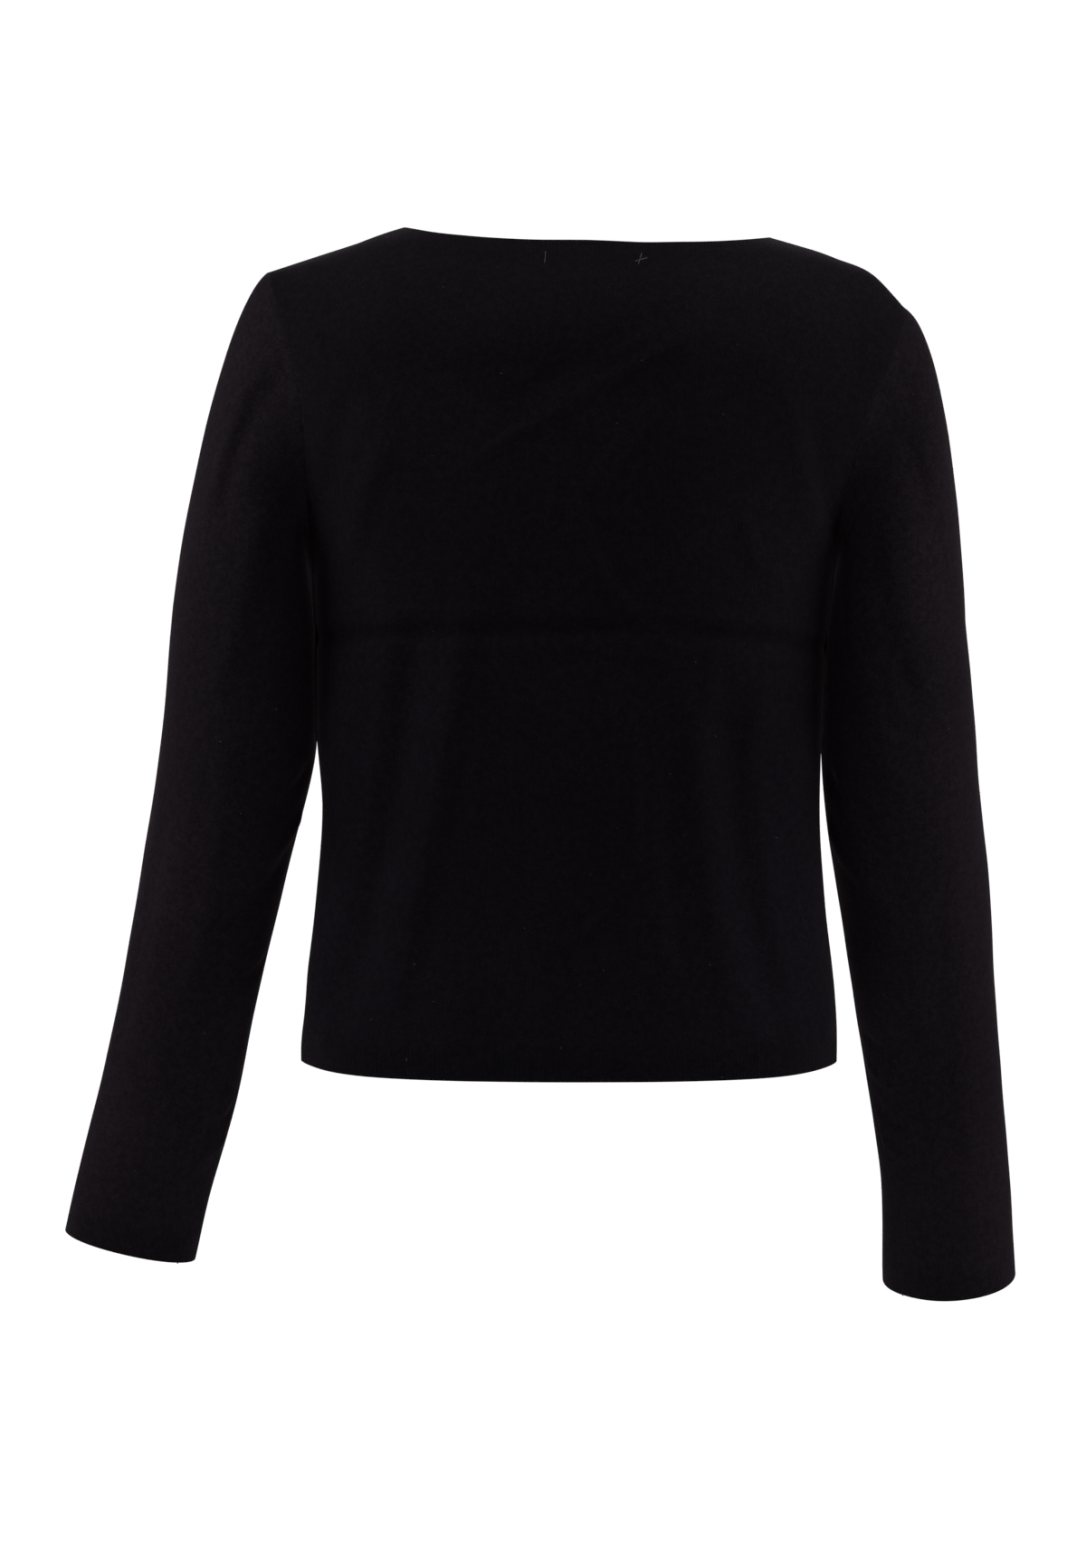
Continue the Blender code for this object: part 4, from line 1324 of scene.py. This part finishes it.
# ---------------------------------------------------------------- studio
FLOOR_DROP = 1.35
FLOOR_RADIUS = 1.6
FLOOR_SIDES = 128
SURROUNDINGS_SHOWN = 1.05   # strength at which the camera sees the surroundings
CAMERA_PLACE = (0.02616, 2.8, -0.2191)
CAMERA_PITCH = 2.296        # degrees below level
CAMERA_LENS = 106.8
CAMERA_SENSOR = 36.0
LIGHT_AIM = (0.0, 0.0, -0.30)
# Name, place, width and height of each soft light, and the setting that gives its power.
LIGHTS = (
    ("side_light_left", (2.1, 0.30, 0.80), 1.4, 2.4, "side_power"),
    ("side_light_right", (-2.1, 0.30, 0.80), 1.4, 2.4, "side_power"),
    ("top_light", (0.0, 0.15, 2.0), 2.4, 1.6, "top_power"),
    ("camera_side_light", (0.0, 2.9, 0.7), 1.2, 1.2, "face_power"),
    ("far_side_light", (0.0, -2.7, 1.6), 1.2, 1.2, "face_power"),
)


def turn_towards(place, aim):
    return (Vector(aim) - Vector(place)).to_track_quat("-Z", "Y").to_euler()


def add_lights(scene, studio):
    """Large soft lights on both sides, overhead, beside the camera and opposite it."""
    for name, place, width, height, power in LIGHTS:
        light = bpy.data.lights.new(name, "AREA")
        light.shape = "RECTANGLE"
        light.size = width
        light.size_y = height
        light.energy = getattr(studio, power)
        lamp = bpy.data.objects.new(name, light)
        lamp.location = place
        lamp.rotation_euler = turn_towards(place, LIGHT_AIM)
        scene.collection.objects.link(lamp)


def white_surroundings(studio):
    """A world that shows white and lights the cloth less than it shows."""
    world = bpy.data.worlds.new("white_surroundings")
    world.use_nodes = True
    tree = world.node_tree
    start = Wire(tree, None)
    shown = tree.nodes["Background"]
    shown.inputs["Color"].default_value = (1.0, 1.0, 1.0, 1.0)
    shown.inputs["Strength"].default_value = SURROUNDINGS_SHOWN
    lit = start.node("ShaderNodeBackground", inputs={"Color": (1.0, 1.0, 1.0, 1.0), "Strength": studio.sky})
    seen = start.node("ShaderNodeLightPath", output=0)
    both = start.node("ShaderNodeMixShader", inputs={0: seen, 1: lit, 2: Wire(tree, shown.outputs[0])})
    tree.links.new(both.socket, tree.nodes["World Output"].inputs["Surface"])
    return world


def floor_disc(studio):
    """A round floor, well below the cardigan."""
    disc = bmesh.new()
    bmesh.ops.create_circle(disc, cap_ends=True, segments=FLOOR_SIDES, radius=FLOOR_RADIUS)
    bmesh.ops.translate(disc, verts=disc.verts, vec=(0.0, 0.0, -FLOOR_DROP))
    mesh = bpy.data.meshes.new("studio_floor")
    disc.to_mesh(mesh)
    disc.free()
    mesh.materials.append(floor_material(studio))
    return bpy.data.objects.new("studio_floor", mesh)


# ---------------------------------------------------------------- operators
class CARDIGAN_OT_panels(bpy.types.Operator):
    """Make the back and the two fronts"""

    bl_idname = "cardigan.panels"
    bl_label = "Back and fronts"

    def execute(self, context):
        for name in ("back", "front_left", "front_right"):
            add_cloth(context, name)
        return {"FINISHED"}


class CARDIGAN_OT_sleeves(bpy.types.Operator):
    """Make the two sleeves"""

    bl_idname = "cardigan.sleeves"
    bl_label = "Sleeves"

    def execute(self, context):
        for name in ("sleeve_left", "sleeve_right"):
            add_cloth(context, name)
        return {"FINISHED"}


class CARDIGAN_OT_seams(bpy.types.Operator):
    """Sew the seams with linked stitches"""

    bl_idname = "cardigan.seams"
    bl_label = "Seams"

    def execute(self, context):
        bench = seam_bench(context.scene.cardigan_seams)
        thread = fibre_material(
            "black_sewing_thread", (0.0022, 0.0019, 0.0024), (0.0055, 0.0046, 0.0058), 900.0, 0.01)
        for name in ("back", "sleeve_left", "sleeve_right"):
            lines = line_mesh(name + "_seam_lines", seam_lines(name))
            finish_small(bench.run_on(lines, name + "_seams", thread))
        return {"FINISHED"}


class CARDIGAN_OT_nap(bpy.types.Operator):
    """Raise the nap of loose fibres"""

    bl_idname = "cardigan.nap"
    bl_label = "Nap"

    def execute(self, context):
        nap = context.scene.cardigan_nap
        bench = nap_bench(nap)
        fibre = fibre_material("loose_fibre", (0.0040, 0.0034, 0.0042), (0.030, 0.022, 0.020), 60.0, 0.03)
        for name in PIECES:
            source = nap_mesh(name + "_nap_ground", skin_of(name), nap.free_reach)
            finish_small(bench.run_on(source, name + "_nap", fibre))
        return {"FINISHED"}


class CARDIGAN_OT_lint(bpy.types.Operator):
    """Strew lint on the cloth and leave three thread ends at the neck"""

    bl_idname = "cardigan.lint"
    bl_label = "Lint and thread ends"

    def execute(self, context):
        nap = context.scene.cardigan_nap
        speck = lint_bench({
            "Length": 1.5 * MM, "Radius": 0.09 * MM, "Stand": 0.5, "Bends": 4, "Seed": nap.seed})
        fluff = fibre_material("pale_lint", (0.050, 0.045, 0.045), (0.16, 0.15, 0.15), 300.0, 0.1)
        for number, name in enumerate(PIECES):
            places = outward_mesh(name + "_lint_places", *strewn(skin_of(name), nap.lint, nap.seed + number))
            finish_small(speck.run_on(places, name + "_lint", fluff))
        places = outward_mesh("seen_lint_places", *places_on(skin_of("back"), LINT))
        finish_small(speck.run_on(places, "back_larger_lint", fluff))
        ends = thread_bench({
            "Length": 7.5 * MM, "Radius": 0.24 * MM, "Stand": 0.08, "Bends": 8, "Seed": nap.seed + 3})
        tan = fibre_material("pale_thread", (0.034, 0.029, 0.027), (0.085, 0.076, 0.070), 700.0, 0.1)
        starts = np.array(THREAD_ENDS)[:, :2]
        ways = np.insert(np.array(THREAD_ENDS)[:, 2:] - starts, 1, 0.0, axis=1)
        points, outward = places_on(skin_of("back"), starts)
        places = outward_mesh("thread_end_places", points, outward, along=unit(ways))
        finish_small(ends.run_on(places, "back_thread_ends", tan))
        return {"FINISHED"}


class CARDIGAN_OT_cuts(bpy.types.Operator):
    bl_idname = "cardigan.cuts"
    bl_label = "Cuts"

    def execute(self, context):
        return {"FINISHED"}


class CARDIGAN_OT_studio(bpy.types.Operator):
    """Set up the floor, the light and the camera"""

    bl_idname = "cardigan.studio"
    bl_label = "Studio"

    def execute(self, context):
        scene = context.scene
        studio = scene.cardigan_studio
        floor = floor_disc(studio)
        scene.collection.objects.link(floor)
        add_lights(scene, studio)
        scene.world = white_surroundings(studio)
        lens = bpy.data.cameras.new("photo_camera")
        lens.lens = CAMERA_LENS
        lens.sensor_width = CAMERA_SENSOR
        camera = bpy.data.objects.new("photo_camera", lens)
        camera.location = CAMERA_PLACE
        camera.rotation_euler = (math.radians(90 - CAMERA_PITCH), 0.0, math.radians(180))
        scene.collection.objects.link(camera)
        scene.camera = camera
        scene.view_settings.view_transform = "Standard"
        return {"FINISHED"}


class CARDIGAN_PT_sidebar(bpy.types.Panel):
    """Lists the cardigan's pieces and their settings"""

    bl_idname = "CARDIGAN_PT_sidebar"
    bl_label = "Cardigan"
    bl_space_type = "VIEW_3D"
    bl_region_type = "UI"
    bl_category = "Cardigan"

    def draw(self, context):
        for operator in OPERATORS:
            self.layout.operator(operator.bl_idname)
        for group, settings in SETTINGS:
            box = self.layout.box()
            for name in settings.__annotations__:
                box.prop(getattr(context.scene, group), name)


# The steps that the sidebar lists.
OPERATORS = (
    CARDIGAN_OT_panels,
    CARDIGAN_OT_sleeves,
    CARDIGAN_OT_seams,
    CARDIGAN_OT_nap,
    CARDIGAN_OT_lint,
    CARDIGAN_OT_cuts,
    CARDIGAN_OT_studio,
)


def register():
    for group, settings in SETTINGS:
        bpy.utils.register_class(settings)
        setattr(bpy.types.Scene, group, PointerProperty(type=settings))
    for made in (*OPERATORS, CARDIGAN_PT_sidebar):
        bpy.utils.register_class(made)


def unregister():
    for made in (CARDIGAN_PT_sidebar, *reversed(OPERATORS)):
        bpy.utils.unregister_class(made)
    for group, settings in reversed(SETTINGS):
        delattr(bpy.types.Scene, group)
        bpy.utils.unregister_class(settings)


def main():
    register()
    bpy.ops.cardigan.panels()
    bpy.ops.cardigan.sleeves()
    bpy.ops.cardigan.seams()
    bpy.ops.cardigan.nap()
    bpy.ops.cardigan.lint()
    bpy.ops.cardigan.cuts()
    bpy.ops.cardigan.studio()


if __name__ == "__main__":
    main()
